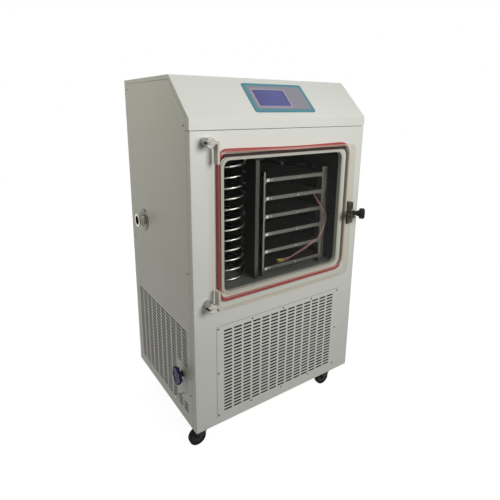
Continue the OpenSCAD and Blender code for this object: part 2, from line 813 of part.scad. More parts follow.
module rack_frame() {
  rear_y = shelf_y1 - post_w;
  rail_h = 12;
  peg = 7;
  color("silver") {
    for (y = [shelf_y0, rear_y]) {
      block([post_x0, y, floor_z], [post_x0 + post_t, y + post_w, rack_top]);
      for (i = [0 : shelf_count - 1])
        block([post_x0 + post_t - eps, y + 4, shelf_z(i) - shelf_t / 2 - seat_gap - peg],
          [shelf_x0 + peg, y + post_w - 4, shelf_z(i) - shelf_t / 2 - seat_gap]);
    }
    for (front = [true, false]) {
      y0 = front ? shelf_y0 : shelf_y1 - angle_t;
      block([post_x1, y0, floor_z + toe_gap], [post_x1 + angle_w, y0 + angle_t, rack_top]);
      y1 = front ? shelf_y0 : rear_y;
      block([post_x1, y1, floor_z], [post_x1 + angle_t, y1 + post_w, rack_top]);
      for (i = [0 : shelf_count - 1])
        block([shelf_x1 - peg, y1 + 4, shelf_z(i) - shelf_t / 2 - seat_gap - peg],
          [post_x1 + eps, y1 + post_w - 4, shelf_z(i) - shelf_t / 2 - seat_gap]);
    }
    for (z = [floor_z + 1, rack_top - rail_h]) {
      for (x = [[post_x0, post_x0 + post_t], [post_x1, post_x1 + angle_t]])
        block([x[0], shelf_y0 + post_w + seat_gap, z], [x[1], rear_y - seat_gap, z + rail_h]);
      block([post_x0 + post_t + seat_gap, shelf_y1 - 6, z],
        [post_x1 - seat_gap, shelf_y1 - 2, z + rail_h]);
    }
  }
}

module shelf(i) {
  color("lightgray") difference() {
    block([shelf_x0, shelf_y0 + 0.5, shelf_z(i) - shelf_t / 2],
      [shelf_x1, shelf_y1 - 8, shelf_z(i) + shelf_t / 2]);
    for (y = manifold_ys) rod_x([shelf_x1 - 20, y, shelf_z(i)], 8 + 2 * run_gap, 30);
  }
}

// Points of the coil's centre line: its lower tail, its turns and its upper tail
coil_n = floor((coil_a1 - coil_a0) / coil_step);
coil_path = concat(
  [[coil_end[0][0], coil_end[0][1], room_z0 - coil_tail], [coil_end[0][0], coil_end[0][1], coil_z0 - 6]],
  [for (k = [0 : coil_n]) let(a = coil_a0 + (coil_a1 - coil_a0) * k / coil_n)
    [coil_x + coil_r * cos(a), coil_y + coil_r * sin(a), coil_z0 + coil_pitch * (a - coil_a0) / 360]],
  [[coil_end[1][0], coil_end[1][1], coil_z1 + 6], [coil_end[1][0], coil_end[1][1], room_z1 + coil_tail]]);

// Directions along a path, and a side vector carried along it without twisting
function headings(p) = [for (i = [0 : len(p) - 1])
  unit(p[min(i + 1, len(p) - 1)] - p[max(i - 1, 0)])];
function square_to(u, t) = unit(u - (u * t) * t);
function sides(t, u0) =
  [for (i = 0, u = square_to(u0, t[0]); i < len(t);
    i = i + 1, u = square_to(u, t[min(i, len(t) - 1)])) u];

// A closed tube of n sides along a path
module tube_along(p, d, n, u0) {
  t = headings(p);
  u = sides(t, u0);
  last = len(p) - 1;
  rings = [for (i = [0 : last], k = [0 : n - 1])
    p[i] + d / 2 * (cos(360 * k / n) * u[i] + sin(360 * k / n) * cross(t[i], u[i]))];
  walls = [for (i = [0 : last - 1], k = [0 : n - 1])
    [i * n + k, i * n + (k + 1) % n, (i + 1) * n + (k + 1) % n, (i + 1) * n + k]];
  ends = [[for (k = [n - 1 : -1 : 0]) k], [for (k = [0 : n - 1]) last * n + k]];
  polyhedron(rings, concat([for (w = walls) [w[3], w[2], w[1], w[0]]], [for (e = ends)
    [for (k = [n - 1 : -1 : 0]) e[k]]]));
}

module trap_coil() { color("silver") tube_along(coil_path, coil_d, 6, [1, 0, 0]); }

module coil_stand() {
  rod_d = 6;
  r = coil_r - coil_d / 2 - rod_d / 2 - 1.6;
  top = coil_z1 - coil_pitch / 2;
  color("silver") {
    for (a = [-34, 86, 206]) {
      x = coil_x + r * cos(a);
      y = coil_y + r * sin(a);
      rod_z([x, y, floor_z], rod_d, top - floor_z);
      rod_z([x, y, floor_z], 16, 3);
    }
    translate([coil_x, coil_y, top + seat_gap]) for (a = [-34, 86, 206])
      rotate([0, 0, a]) translate([0, -5, 0]) cube([r + rod_d / 2, 10, 3]);
  }
}

module trap_baffle() {
  color("gray") {
    block([baffle_x, shelf_y0, floor_z], [baffle_x + 2, shelf_y1 - 40, mouth_top - 14]);
    block([baffle_x - 16, shelf_y0, floor_z], [baffle_x + eps, shelf_y0 + 2, mouth_top - 14]);
  }
}

module oil_manifold() {
  color("silver") for (y = manifold_ys) {
    rod_z([manifold_x, y, tank_h + seat_gap], manifold_d,
      shelf_z(shelf_count - 1) + 14 - tank_h - seat_gap);
    for (i = [0 : shelf_count - 1])
      rod_x([shelf_x1 - 14, y, shelf_z(i)], 8, manifold_x - shelf_x1 + 14);
  }
}

// ---- probes ----

// The wires' routes, each from its gland to its tip, about the cabinet's own centre
wire_a_pts = [
  [276, -212, 893], [262, -214, 893], [240, -222, 890], [218, -236, 887], [204, -252, 884],
  [205, -266, 874], [219, -272, 851], [240, -275, 825], [256, -277, 798], [256, -277, 770],
  [246, -277, 738], [228, -276, 710], [198, -275, 688], [160, -270, 664], [128, -256, 642],
  [100, -240, 624], [72, -230, 616], [50, -228, 616]];
wire_b_pts = [
  [276, -197, 893], [262, -200, 892], [244, -214, 886], [230, -232, 880], [220, -250, 874],
  [215, -272, 863], [219, -285, 839], [228, -286, 811], [238, -283, 782], [238, -283, 754],
  [224, -283, 722], [206, -282, 700], [176, -277, 682], [146, -268, 664], [118, -254, 644],
  [92, -246, 626], [68, -243, 616], [46, -244, 616]];

// A smooth curve through every point, m steps to a stretch
function smooth(p, m) = concat(
  [for (i = [0 : len(p) - 2], k = [0 : m - 1])
    let(a = p[max(i - 1, 0)], b = p[i], c = p[i + 1], d = p[min(i + 2, len(p) - 1)], t = k / m)
    0.5 * (2 * b + (c - a) * t + (2 * a - 5 * b + 4 * c - d) * t * t
      + (3 * b - a - 3 * c + d) * t * t * t)],
  [p[len(p) - 1]]);

module probe_wire_a() { color("indianred") tube_along(smooth(wire_a_pts, 2), wire_d, 8, [0, 0, 1]); }
module probe_wire_b() { color("rosybrown") tube_along(smooth(wire_b_pts, 2), wire_d, 8, [0, 0, 1]); }

// A yellow tip that carries on from its wire's end
module probe_tip(p) {
  e = p[len(p) - 1];
  v = unit(e - p[len(p) - 2]);
  color("gold") translate(e + seat_gap * v) rotate([0, acos(v[2]), atan2(v[1], v[0])]) {
    cylinder(d = tip_d, h = tip_len, $fn = 24);
    translate([0, 0, tip_len - eps]) cylinder(d1 = tip_d, d2 = 1.6, h = 5, $fn = 24);
  }
}
module probe_tip_a() { probe_tip(wire_a_pts); }
module probe_tip_b() { probe_tip(wire_b_pts); }

// A threaded fitting through the chamber's right wall, its head from x0 to x1 inside the chamber
module wall_fitting(x0, x1, y, z, d) {
  difference() {
    union() {
      rod_x([x0, y, z], d, x1 - x0);
      rod_x([x1 - eps, y, z], 8, room_hw - x1 + chamber_wall + 12);
    }
    rod_x([x0 - cut, y, z], 2, 60);
  }
}

module wall_fittings() {
  color("silver") {
    for (y = gland_ys) wall_fitting(wire_a_pts[0][0], room_hw, y, gland_z, 10);
    wall_fitting(inlet_seat - 10, inlet_seat, inlet_y, inlet_z, inlet_d);
  }
}

// ---- services on the left side ----

module vacuum_port() {
  x0 = -hx - port_reach;
  x1 = -room_hw - chamber_wall;
  color("silver") translate([x0, port_y, port_z]) rotate([0, 90, 0]) difference() {
    union() {
      cylinder(r = port_or, h = x1 - x0);
      cylinder(d = port_flange_d, h = 3);
      translate([0, 0, 3 - eps]) cylinder(d1 = port_flange_d, d2 = 2 * port_or, h = 4.5);
    }
    translate([0, 0, -cut]) cylinder(d = port_bore, h = x1 - x0 + 2 * cut);
  }
}

module port_rosette() {
  bore = 2 * port_or + 2 * seat_gap;
  color("gray") translate([-hx, port_y, port_z]) rotate([0, -90, 0]) rotate_extrude($fn = 96)
    polygon([[bore / 2, 0], [rosette_d / 2, 0], [rosette_d / 2, 2], [rosette_d / 2 - 2.5, 4],
      [rosette_d / 2 - 9, 4.6], [bore / 2 + 12, 2.6], [bore / 2 + 4, 6], [bore / 2, 6]]);
}

module drain_valve_body() {
  color("silver") translate([-hx, -valve_y, valve_z]) rotate([0, -90, 0]) {
    translate([0, 0, -26 - 20]) cylinder(d = 38, h = 32);
    translate([0, 0, -18]) cylinder(d = 27, h = 18 + eps);
    cylinder(d = 32, h = 6);
    translate([0, 0, 6 - eps]) cylinder(d1 = 30, d2 = 16, h = 6);
    cylinder(d = stem_d, h = wheel_mid - wheel_t / 2 - seat_gap);
    cylinder(d = stem_d - 2, h = wheel_mid + wheel_t / 2 - 5);
    translate([0, 0, wheel_mid + wheel_t / 2 - 5]) cylinder(d = 11, h = 4, $fn = 6);
  }
}

module drain_handwheel() {
  lobes = 7;
  r = wheel_d / 2;
  lobe_r = 9;
  color("navy") translate([-hx - wheel_mid - wheel_t / 2, -valve_y, valve_z]) rotate([0, 90, 0])
    difference() {
      union() {
        for (k = [0 : lobes - 1]) rotate([0, 0, 360 * (k + 0.5) / lobes])
          translate([r - lobe_r, 0, 0]) cylinder(r = lobe_r, h = wheel_t, $fn = 32);
        cylinder(r = r - 5.5, h = wheel_t);
      }
      translate([0, 0, -cut]) cylinder(r = (stem_d - 2) / 2 + run_gap, h = wheel_t + 2 * cut);
      translate([0, 0, -cut]) cylinder(r = 6.2, h = 5 + seat_gap + cut);
      for (k = [0 : lobes - 1]) rotate([0, 0, 360 * k / lobes])
        translate([r + 0.5, 0, -cut]) cylinder(r = 7.5, h = wheel_t + 2 * cut, $fn = 32);
      translate([0, 0, -cut]) difference() {
        cylinder(r = r - 12, h = cut + 2);
        translate([0, 0, -cut]) cylinder(r = 9, h = 3 * cut + 2);
      }
    }
}

module drain_nozzle() {
  y = -valve_y;
  free = nozzle_reach - 3;
  color("silver") {
    difference() {
      union() {
        rod_x([-hx - nozzle_reach, y, nozzle_z], nozzle_d, free + eps);
        rod_x([-hx - 3, y, nozzle_z], pipe_d, 29);
        translate([pipe_x, y, nozzle_z]) sphere(d = pipe_d + 1.5);
        rod_z([pipe_x, y, nozzle_z], pipe_d, valve_z - 19 - seat_gap - nozzle_z);
      }
      rod_x([-hx - nozzle_reach - cut, y, nozzle_z], nozzle_d - 2 * nozzle_wall, 40 + nozzle_reach);
    }
    pipe([[pipe_x, y, valve_z + 19 + seat_gap], [pipe_x, y, room_z0 - 130],
      [drain_x, y, room_z0 - 50], [drain_x, y, room_z0 - chamber_wall - seat_gap]], pipe_d);
  }
}

// ---- machinery ----

module compressors() {
  color("black") for (x = comp_xs) translate([x, comp_y, tray_t]) {
    difference() {
      translate([-comp_base / 2, -comp_base / 2, 0]) cube([comp_base, comp_base, 6]);
      for (sx = [-1, 1], sy = [-1, 1])
        translate([sx * (comp_base / 2 - 12), sy * (comp_base / 2 - 12), -cut])
          cylinder(d = 9, h = 8);
    }
    translate([0, 0, 6 - eps]) rotate_extrude() polygon(rounded(
      [[0, 0], [comp_d / 2 - 8, 0], [comp_d / 2, 24], [comp_d / 2, comp_h - 50],
        [comp_d / 3, comp_h], [0, comp_h]], [0, 6, 10, 30, 20, 0]));
    pipe([[comp_d / 2 - 6, 0, comp_h - 120], [comp_d / 2 + 12, 0, comp_h - 120],
      [comp_d / 2 + 12, 0, comp_h + 60], [30, 0, comp_h + 60], [30, 0, comp_h + 120]], 10);
  }
}

module condenser() {
  cx = cond_w / 2;
  color("silver") {
    block([-cx, cond_y, cond_z0], [cx, cond_y + condenser_t, cond_z1]);
    for (s = [-1, 1])
      block([s > 0 ? cx + seat_gap : -cx - seat_gap - 3, cond_y, tray_t + seat_gap],
        [s > 0 ? cx + seat_gap + 3 : -cx - seat_gap, cond_y + condenser_t, cond_z1]);
  }
  color("dimgray") difference() {
    block([-cx, shroud_y, cond_z0], [cx, shroud_y + 2, cond_z1]);
    rod_y([0, shroud_y - cut, fan_z], fan_d + 12, 4);
  }
}

module fan_motor() {
  reach = fan_d / 2 + 22;
  color("black") {
    block([-20, arm_y, fan_z - reach - 12], [20, arm_y + arm_t, fan_z + reach + 12]);
    for (s = [-1, 1])
      rod_y([0, shroud_y + 2 + seat_gap, fan_z + s * reach], 12, arm_y - shroud_y - 2 - seat_gap + eps);
    rod_y([0, arm_y + arm_t - eps, fan_z], motor_d, motor_len);
    rod_y([0, fan_y + 2, fan_z], shaft_d, arm_y - fan_y - 2 + eps);
  }
}

module fan_blades() {
  hub_r = 34;
  color("gray") translate([0, fan_y, fan_z]) rotate([-90, 0, 0]) difference() {
    union() {
      cylinder(r = hub_r, h = fan_t);
      intersection() {
        cylinder(d = fan_d, h = fan_t);
        for (k = [0 : 4]) rotate([0, 0, 72 * k]) translate([hub_r - 4, 0, fan_t / 2])
          rotate([24, 0, 0]) translate([0, -46, -1.5]) cube([fan_d / 2, 92, 3]);
      }
    }
    translate([0, 0, -cut]) cylinder(r = shaft_d / 2 + run_gap, h = fan_t + 2 * cut);
  }
}

module oil_tank() {
  x0 = comp_xs[1] + comp_base / 2 + 75;
  y0 = comp_y - 150;
  color("gray") {
    block([x0, y0, tray_t + seat_gap], [x0 + tank_w, y0 + tank_d, tank_h]);
    rod_z([x0 + 60, y0 + 80, tank_h - eps], 70, 26);
    rod_x([x0 - 44, y0 + 170, 90], 60, 44 + eps);
    rod_z([x0 - 26, y0 + 170, tray_t + seat_gap], 26, 90);
  }
}

module electrical_box() {
  color("lightgray") {
    x0 = mouth_hw + 35 - box_w;
    block([x0, shell_end + chamber_wall + insulation_t + 8, box_z],
      [x0 + box_w, ry - sheet_t - seat_gap, box_z + box_h]);
  }
}

module cable_gland() {
  color("black") translate([hx - 90, ry, 110]) rotate([-90, 0, 0]) difference() {
    union() {
      translate([0, 0, -12]) cylinder(d = 20, h = 12 + eps);
      cylinder(d = 27, h = 6, $fn = 6);
      translate([0, 0, 6 - eps]) cylinder(d1 = 24, d2 = 18, h = gland_len - 6);
      translate([0, 0, -12]) cylinder(d = 27, h = 12 - sheet_t - seat_gap, $fn = 6);
    }
    translate([0, 0, -13]) cylinder(d = 10, h = gland_len + 14);
  }
}

// ---- door, hinges and latch ----

lug_screw_x = lug_tip - lug_len + 18;
lug_screw_dz = 9;

module door_plate() {
  zc = (door_z0 + door_z1) / 2;
  color("lightcyan", 0.35) difference() {
    translate([0, 0, zc]) upright(door_face, door_back)
      rrect(2 * door_hw, door_z1 - door_z0, door_r);
    for (s = [-1, 1])
      rod_y([lug_screw_x, door_face - cut, latch_z + s * lug_screw_dz],
        5 + 2 * run_gap, lug_screw_l + 1 + cut);
  }
}

// A hinge post standing out of the front panel, its nose split for the tongue
module hinge_post(z) {
  difference() {
    union() {
      rod_y([hinge_x, post_end + 2, z], post_d, fy - post_end - 2);
      translate([hinge_x, post_end, z]) rotate([-90, 0, 0])
        cylinder(d1 = post_d - 4, d2 = post_d, h = 2 + eps);
    }
    block([hinge_x - post_d, post_end - cut, z - bar_t / 2 - seat_gap],
      [hinge_x + post_d, hinge_y + slot_depth, z + bar_t / 2 + seat_gap]);
    rod_z([hinge_x, hinge_y, z - post_d], pin_d + 2 * run_gap, 2 * post_d);
  }
}

module hinge_posts() {
  color("silver") for (z = [post_zu, post_zl]) hinge_post(z);
}

module pivot_pins() {
  l = post_d + 4;
  color("silver") {
    for (z = [post_zu, post_zl]) rod_z([hinge_x, hinge_y, z - l / 2], pin_d, l);
    rod_z([latch_x, latch_y, latch_z - ear_gap / 2 - ear_h + 3], pin_d, ear_gap + 2 * ear_h - 6);
    for (z = [-ear_gap / 2, ear_gap / 2 - washer_t])
      rod_z([latch_x, latch_y, latch_z + z], pin_d + 12, washer_t);
  }
}

// A bar on the door's edge from z0 to z1, with a tongue at zt that turns on the hinge pin
module hinge_bar(z0, z1, zt) {
  edge = -door_hw;
  difference() {
    union() {
      block([edge - bar_t, door_face, z0], [edge, door_back, z1]);
      block([hinge_x, hinge_y - eye_r, zt - bar_t / 2],
        [edge - bar_t + eps, hinge_y + eye_r, zt + bar_t / 2]);
      rod_z([hinge_x, hinge_y, zt - bar_t / 2], 2 * eye_r, bar_t);
    }
    rod_z([hinge_x, hinge_y, zt - bar_t], pin_d + 2 * run_gap, 2 * bar_t);
  }
}

module hinge_bars() {
  color("silver") {
    hinge_bar(post_zu + bar_t / 2 - bar_len, post_zu + bar_t / 2, post_zu);
    hinge_bar(door_z0 + 3, door_z0 + 3 + bar_len, post_zl);
  }
}

module door_lug() {
  color("dimgray") difference() {
    upright(door_face - lug_t, door_face) translate([lug_tip - lug_len / 2, latch_z])
      rrect(lug_len, lug_h, 4);
    upright(door_face - lug_t - cut, door_face + cut) {
      translate([latch_x, latch_z]) circle(d = lug_slot);
      translate([latch_x, latch_z - lug_slot / 2]) square([20, lug_slot]);
    }
    for (s = [-1, 1])
      rod_y([lug_screw_x, door_face - lug_t - cut, latch_z + s * lug_screw_dz],
        5 + 2 * run_gap, lug_t + 2 * cut);
  }
  color("silver") for (s = [-1, 1])
    translate([lug_screw_x, door_face - lug_t - seat_gap, latch_z + s * lug_screw_dz])
      rotate([90, 0, 0]) {
        cylinder(d = 11, h = 4, $fn = 32);
        translate([0, 0, -lug_t - lug_screw_l])
          cylinder(d = 5, h = lug_t + lug_screw_l + eps, $fn = 32);
      }
}

module latch_bracket() {
  x0 = latch_x - bracket_w / 2;
  h = ear_gap / 2 + ear_h;
  outline = [
    [fy, latch_z - h], [fy, latch_z + h], [fy - bracket_d, latch_z + h],
    [fy - bracket_d, latch_z + ear_gap / 2], [fy - bracket_t, latch_z + ear_gap / 2],
    [fy - bracket_t, latch_z - ear_gap / 2], [fy - bracket_d, latch_z - ear_gap / 2],
    [fy - bracket_d, latch_z - h]];
  color("dimgray") difference() {
    across(x0, x0 + bracket_w) polygon(rounded(outline, [0, 0, 4, 1, 0, 0, 1, 12]));
    rod_z([latch_x, latch_y, latch_z - 2 * h], pin_d + 2 * run_gap, 4 * h);
  }
}

// Draws along the swing bolt: -Y outwards from the latch pivot, swung to its rest
module on_bolt() {
  translate([latch_x, latch_y, latch_z]) rotate([0, 0, swing_rest]) children();
}

module swing_bolt() {
  color("black") on_bolt() difference() {
    union() {
      translate([0, 0, -eye_h / 2]) cylinder(r = bolt_eye_r, h = eye_h);
      rotate([90, 0, 0]) cylinder(d = shank_d, h = shank_len);
      rotate([90, 0, 0]) cylinder(d = bolt_d, h = knob_end - knob_cap - seat_gap);
    }
    translate([0, 0, -eye_h]) cylinder(d = pin_d + 2 * run_gap, h = 2 * eye_h);
  }
}

module clamp_knob() {
  flutes = 8;
  color("black") on_bolt() rotate([90, 0, 0]) difference() {
    union() {
      translate([0, 0, knob_start]) cylinder(d1 = neck_d - 4, d2 = neck_d, h = neck_len + eps);
      translate([0, 0, head_start]) cylinder(d1 = knob_d - 6, d2 = knob_d, h = rim);
      translate([0, 0, head_start + rim - eps])
        cylinder(d = knob_d, h = knob_len - 2 * rim + 2 * eps);
      translate([0, 0, knob_end - rim]) cylinder(d1 = knob_d, d2 = knob_d - 2 * rim, h = rim);
    }
    for (k = [0 : flutes - 1]) rotate([0, 0, 360 * (k + 0.5) / flutes])
      translate([knob_d / 2 + 2.5, 0, head_start - cut]) cylinder(d = 12, h = knob_len + 2 * cut);
    translate([0, 0, knob_start - cut])
      cylinder(d = bolt_d + 2 * run_gap, h = knob_end - knob_cap - knob_start + cut);
  }
}

// ---- casters ----

module caster_plates() {
  color("black") for (x = caster_xs, y = caster_ys) translate([x, y, 0]) {
    translate([0, 0, -plate_t]) linear_extrude(plate_t) rrect(plate_s, plate_s, 6);
    rod_z([0, 0, web_z0 - seat_gap - nut_t], king_d, -web_z0 + seat_gap + nut_t - plate_t + eps);
    rod_z([0, 0, web_z0 - seat_gap - nut_t], 20, nut_t);
  }
}

// Draws on the swivel axis of caster i across and j deep, its trail towards -X before its turn
module on_caster(i, j) {
  translate([caster_xs[i], caster_ys[j], 0]) rotate([0, 0, caster_turns[j]]) children();
}

module fork(i, j) {
  leg = [
    [26, web_z0 + web_t], [26, web_z0 - 3], [-trail + 10, axle_z - 10], [-trail - 10, axle_z - 10],
    [-trail - 12, axle_z + 6], [-trail - 6, web_z0 + web_t - 2], [-22, web_z0 + web_t]];
  color("black") on_caster(i, j) {
    difference() {
      union() {
        rod_z([0, 0, web_z0], 54, web_t);
        block([-trail - 6, -leg_in - leg_t, web_z0], [26, leg_in + leg_t, web_z0 + web_t - 2]);
        for (s = [-1, 1])
          upright(s > 0 ? leg_in : -leg_in - leg_t, s > 0 ? leg_in + leg_t : -leg_in)
            polygon(rounded(leg, [0, 6, 9, 9, 10, 6, 0]));
      }
      rod_z([0, 0, web_z0 - cut], king_d + 2 * run_gap, web_t + 2 * cut);
      rod_y([-trail, -leg_in - 2 * leg_t, axle_z], axle_d + 2 * run_gap, 2 * leg_in + 4 * leg_t);
    }
    out = leg_in + leg_t + head_gap;
    rod_y([-trail, -out - 1, axle_z], axle_d, 2 * out + 2);
    for (s = [-1, 1]) rod_y([-trail, s > 0 ? out : -out - 3.5, axle_z], 14, 3.5);
  }
}

module caster_wheel(i, j) {
  r = wheel_od / 2;
  w = wheel_w / 2;
  bore = axle_d / 2 + run_gap;
  profile = [
    [bore, -w - 0.5], [12, -w - 0.5], [12, -w + 3], [r - 12, -w + 3], [r - 10, -w], [r, -w],
    [r, w], [r - 10, w], [r - 12, w - 3], [12, w - 3], [12, w + 0.5], [bore, w + 0.5]];
  color("black") on_caster(i, j) translate([-trail, 0, axle_z]) rotate([-90, 0, 0])
    rotate_extrude($fn = 96) polygon(rounded(profile, [0, 1, 1, 2, 2, 6, 6, 2, 2, 1, 1, 0]));
}

// ---- nodes ----

placed() {
  base_tray();
  inner_frame();
  front_panel();
  vent_panel();
  left_side_panel();
  right_side_panel();
  rear_panel();
  hood();
  cabinet_screws();
  display_panel();
  touch_screen();
  chamber_shell();
  mouth_flange();
  insulation_jacket();
  door_gasket();
  rack_frame();
  shelf(0);  // shelf_1
  shelf(1);  // shelf_2
  shelf(2);  // shelf_3
  shelf(3);  // shelf_4
  shelf(4);  // shelf_5
  shelf(5);  // shelf_6
  trap_coil();
  coil_stand();
  trap_baffle();
  oil_manifold();
  wall_fittings();
  probe_wire_a();
  probe_wire_b();
  probe_tip_a();
  probe_tip_b();
  vacuum_port();
  port_rosette();
  drain_valve_body();
  drain_nozzle();
  compressors();
  condenser();
  fan_motor();
  oil_tank();
  electrical_box();
  cable_gland();
  hinge_posts();
  pivot_pins();
  latch_bracket();
  caster_plates();
  door_plate();
  hinge_bars();
  door_lug();
  swing_bolt();
  clamp_knob();
  drain_handwheel();
  fan_blades();
  fork(0, 0);  // fork_front_left
  fork(1, 0);  // fork_front_right
  fork(0, 1);  // fork_rear_left
  fork(1, 1);  // fork_rear_right
  caster_wheel(0, 0);  // wheel_front_left
  caster_wheel(1, 0);  // wheel_front_right
  caster_wheel(0, 1);  // wheel_rear_left
  caster_wheel(1, 1);  // wheel_rear_right
}
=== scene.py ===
"""Looks for the shelf freeze dryer: it dresses the packed model with finishes, soft parts, fine
detail and a plain studio. Lengths are metres in the model's frame unless a name ends in _mm."""

import json
import math

import bmesh
import bpy
from bpy.props import FloatProperty, FloatVectorProperty, IntProperty, PointerProperty
from mathutils import Matrix, Vector

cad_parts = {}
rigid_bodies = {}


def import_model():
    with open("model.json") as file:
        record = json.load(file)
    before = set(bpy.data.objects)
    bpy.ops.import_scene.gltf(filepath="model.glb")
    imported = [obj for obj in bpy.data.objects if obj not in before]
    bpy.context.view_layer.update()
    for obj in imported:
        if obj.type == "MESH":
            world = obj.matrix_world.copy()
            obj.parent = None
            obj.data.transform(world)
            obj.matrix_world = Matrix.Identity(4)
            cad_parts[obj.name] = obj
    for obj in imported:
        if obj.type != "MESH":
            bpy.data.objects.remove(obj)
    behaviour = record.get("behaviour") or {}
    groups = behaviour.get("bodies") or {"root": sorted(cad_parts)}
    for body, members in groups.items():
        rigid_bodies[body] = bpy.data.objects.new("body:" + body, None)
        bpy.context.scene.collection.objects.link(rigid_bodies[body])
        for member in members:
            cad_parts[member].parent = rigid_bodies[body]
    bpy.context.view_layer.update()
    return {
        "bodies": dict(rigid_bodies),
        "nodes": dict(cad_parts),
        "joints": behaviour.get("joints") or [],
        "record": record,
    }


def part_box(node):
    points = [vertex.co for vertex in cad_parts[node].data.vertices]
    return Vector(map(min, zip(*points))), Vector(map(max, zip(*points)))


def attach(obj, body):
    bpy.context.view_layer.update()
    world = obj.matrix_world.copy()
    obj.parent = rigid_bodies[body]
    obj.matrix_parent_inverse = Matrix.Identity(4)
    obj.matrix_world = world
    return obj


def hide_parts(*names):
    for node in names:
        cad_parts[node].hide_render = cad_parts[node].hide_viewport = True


bl_info = {
    "name": "Shelf Freeze Dryer",
    "version": (1, 0, 0),
    "blender": (4, 5, 0),
    "location": "3D View > Sidebar > Freeze Dryer",
    "description": "Finishes, soft parts, fine detail and a studio for a shelf freeze dryer",
    "category": "Object",
}

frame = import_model()
NODES = frame["nodes"]
MM = 0.001

# The cabinet's own frame: X from its middle, Y from its middle, Z from its underside
FRONT_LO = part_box("front_panel")[0]
HOOD_LO, HOOD_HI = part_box("hood")
ORIGIN = Vector(((HOOD_LO.x + HOOD_HI.x) / 2, (HOOD_LO.y + HOOD_HI.y) / 2, FRONT_LO.z))


def place(x, y, z):
    """A point in millimetres about the cabinet's own middle, in the model's frame."""
    return ORIGIN + Vector((x, y, z)) * MM


def colour(red, green, blue):
    """A screen colour, 0 to 255 a channel, as the linear colour that Blender stores."""

    def linear(value):
        value /= 255
        return value / 12.92 if value <= 0.04045 else ((value + 0.055) / 1.055) ** 2.4

    return (linear(red), linear(green), linear(blue))


# ---- settings ----


def length_prop(name, description, default, low, high):
    return FloatProperty(
        name=name, description=description, default=default, min=low, max=high, unit="LENGTH"
    )


def lamp_prop(name, description, default):
    return FloatProperty(name=name, description=description, default=default, min=0, max=500)


def colour_prop(name, description, default):
    return FloatVectorProperty(
        name=name,
        description=description,
        default=colour(*default),
        size=3,
        min=0,
        max=1,
        subtype="COLOR",
    )


class DryerFinishSettings(bpy.types.PropertyGroup):
    """Colours of the painted, metal and plastic pieces"""

    coat: colour_prop("Powder coat", "Colour of the cabinet's powder coat", (220, 221, 213))
    # Painted shade: the frame and the tray are kept dark for the shade behind the slots
    inner_coat: colour_prop("Inner steel", "Colour of the frame and the tray", (62, 63, 60))
    # Painted light and shade: the walls' dark tone stands for the shade inside the chamber, the
    # floor's paler tone for the light on it
    chamber: colour_prop("Chamber steel", "Tone of the chamber's inner walls", (58, 57, 52))
    lit_chamber_floor: colour_prop("Chamber floor", "Colour of the chamber's floor", (104, 106, 100))
    steel: colour_prop("Steel", "Colour of the bright stainless pieces", (205, 204, 198))
    shelf: colour_prop("Shelf metal", "Colour of the shelves", (106, 106, 100))
    flange: colour_prop("Flange", "Colour of the mouth flange", (196, 191, 180))
    plastic: colour_prop("Black plastic", "Colour of the clamp knob and its bolt", (8, 8, 9))
    handwheel: colour_prop("Handwheel", "Colour of the drain valve's handwheel", (15, 10, 62))
    clear: colour_prop("Clear sheet", "Tint of the clear door plate", (252, 253, 252))
    clear_edge: colour_prop("Sheet edge", "Tint of the door plate's edges", (250, 244, 238))


class DryerSealSettings(bpy.types.PropertyGroup):
    """Sizes and colours of the door's gasket"""

    rubber: colour_prop("Rubber", "Colour of the gasket's rubber", (158, 47, 44))
    # Painted highlight: the pale lip tone stands for the lit edge over the mouth, and also lightens
    # the bead where it is lit
    lip: colour_prop("Lip", "Colour of the gasket's pale inner lip over the mouth", (204, 156, 150))
    # Painted reflection: the latch side's pale tone is the plate's glare lying on the rubber
    pale: colour_prop("Latch side", "Colour of the gasket where the latch presses it", (200, 188, 174))
    # Painted shade and reflection: the bead is dark where the plate shades the gap, darker red by the
    # hinges and pale with the plate's glare at the latch
    bead: colour_prop("Bead", "Colour of the gasket's shaded sealing bead", (46, 26, 22))
    side_red: colour_prop("Hinge side bead", "Colour of the bead at the hinges", (98, 44, 40))
    latch_glare_bead: colour_prop("Latch side bead", "Colour of the bead at the latch", (140, 124, 110))
    width: length_prop("Width", "Width of the gasket", 0.0095, 0.006, 0.0168)
    top_width: length_prop("Top width", "Width of the gasket over the mouth", 0.0135, 0.006, 0.0168)
    top_red: length_prop("Top red", "Height of the red part over the mouth", 0.0085, 0.004, 0.0168)
    hinge_inset: length_prop("Hinge inset", "How far in the hinge side lies", 0.0105, 0.0, 0.012)
    side_bead: length_prop("Side bead", "Width of the bead beside the mouth", 0.0028, 0.001, 0.006)
    top_bead: length_prop("Top bead", "Width of the bead over the mouth", 0.0145, 0.001, 0.016)
    wave: length_prop("Wave", "Height of the wave along the gasket's top", 0.0045, 0.0, 0.008)


class DryerChamberSettings(bpy.types.PropertyGroup):
    """Sizes and colours of what is in the chamber"""

    coil_tube: length_prop("Coil tube", "Diameter of the coil's tube", 0.0085, 0.006, 0.012)
    coil_turns: FloatProperty(
        name="Coil turns", description="Number of turns of the coil", default=11.25, min=6, max=12
    )
    coil_pitch: length_prop("Coil pitch", "Rise of the coil in one turn", 0.042, 0.03, 0.042)
    wire: length_prop("Probe wire", "Diameter of a probe's wire", 0.003, 0.002, 0.004)
    wire_a: colour_prop("First wire", "Colour of the first probe's wire", (196, 128, 124))
    wire_b: colour_prop("Second wire", "Colour of the second probe's wire", (176, 132, 130))
    tip: colour_prop("Probe tip", "Colour of the probes' sleeves", (216, 190, 96))


class DryerDisplaySettings(bpy.types.PropertyGroup):
    """Colours of the display panel and its screen"""

    border: colour_prop("Border", "Colour of the display panel's border", (62, 130, 144))
    field: colour_prop("Field", "Colour of the display panel's field", (132, 130, 141))
    bezel: colour_prop("Bezel", "Colour of the frame round the screen", (154, 144, 162))
    screen: colour_prop("Screen", "Colour of the lit screen", (60, 64, 126))


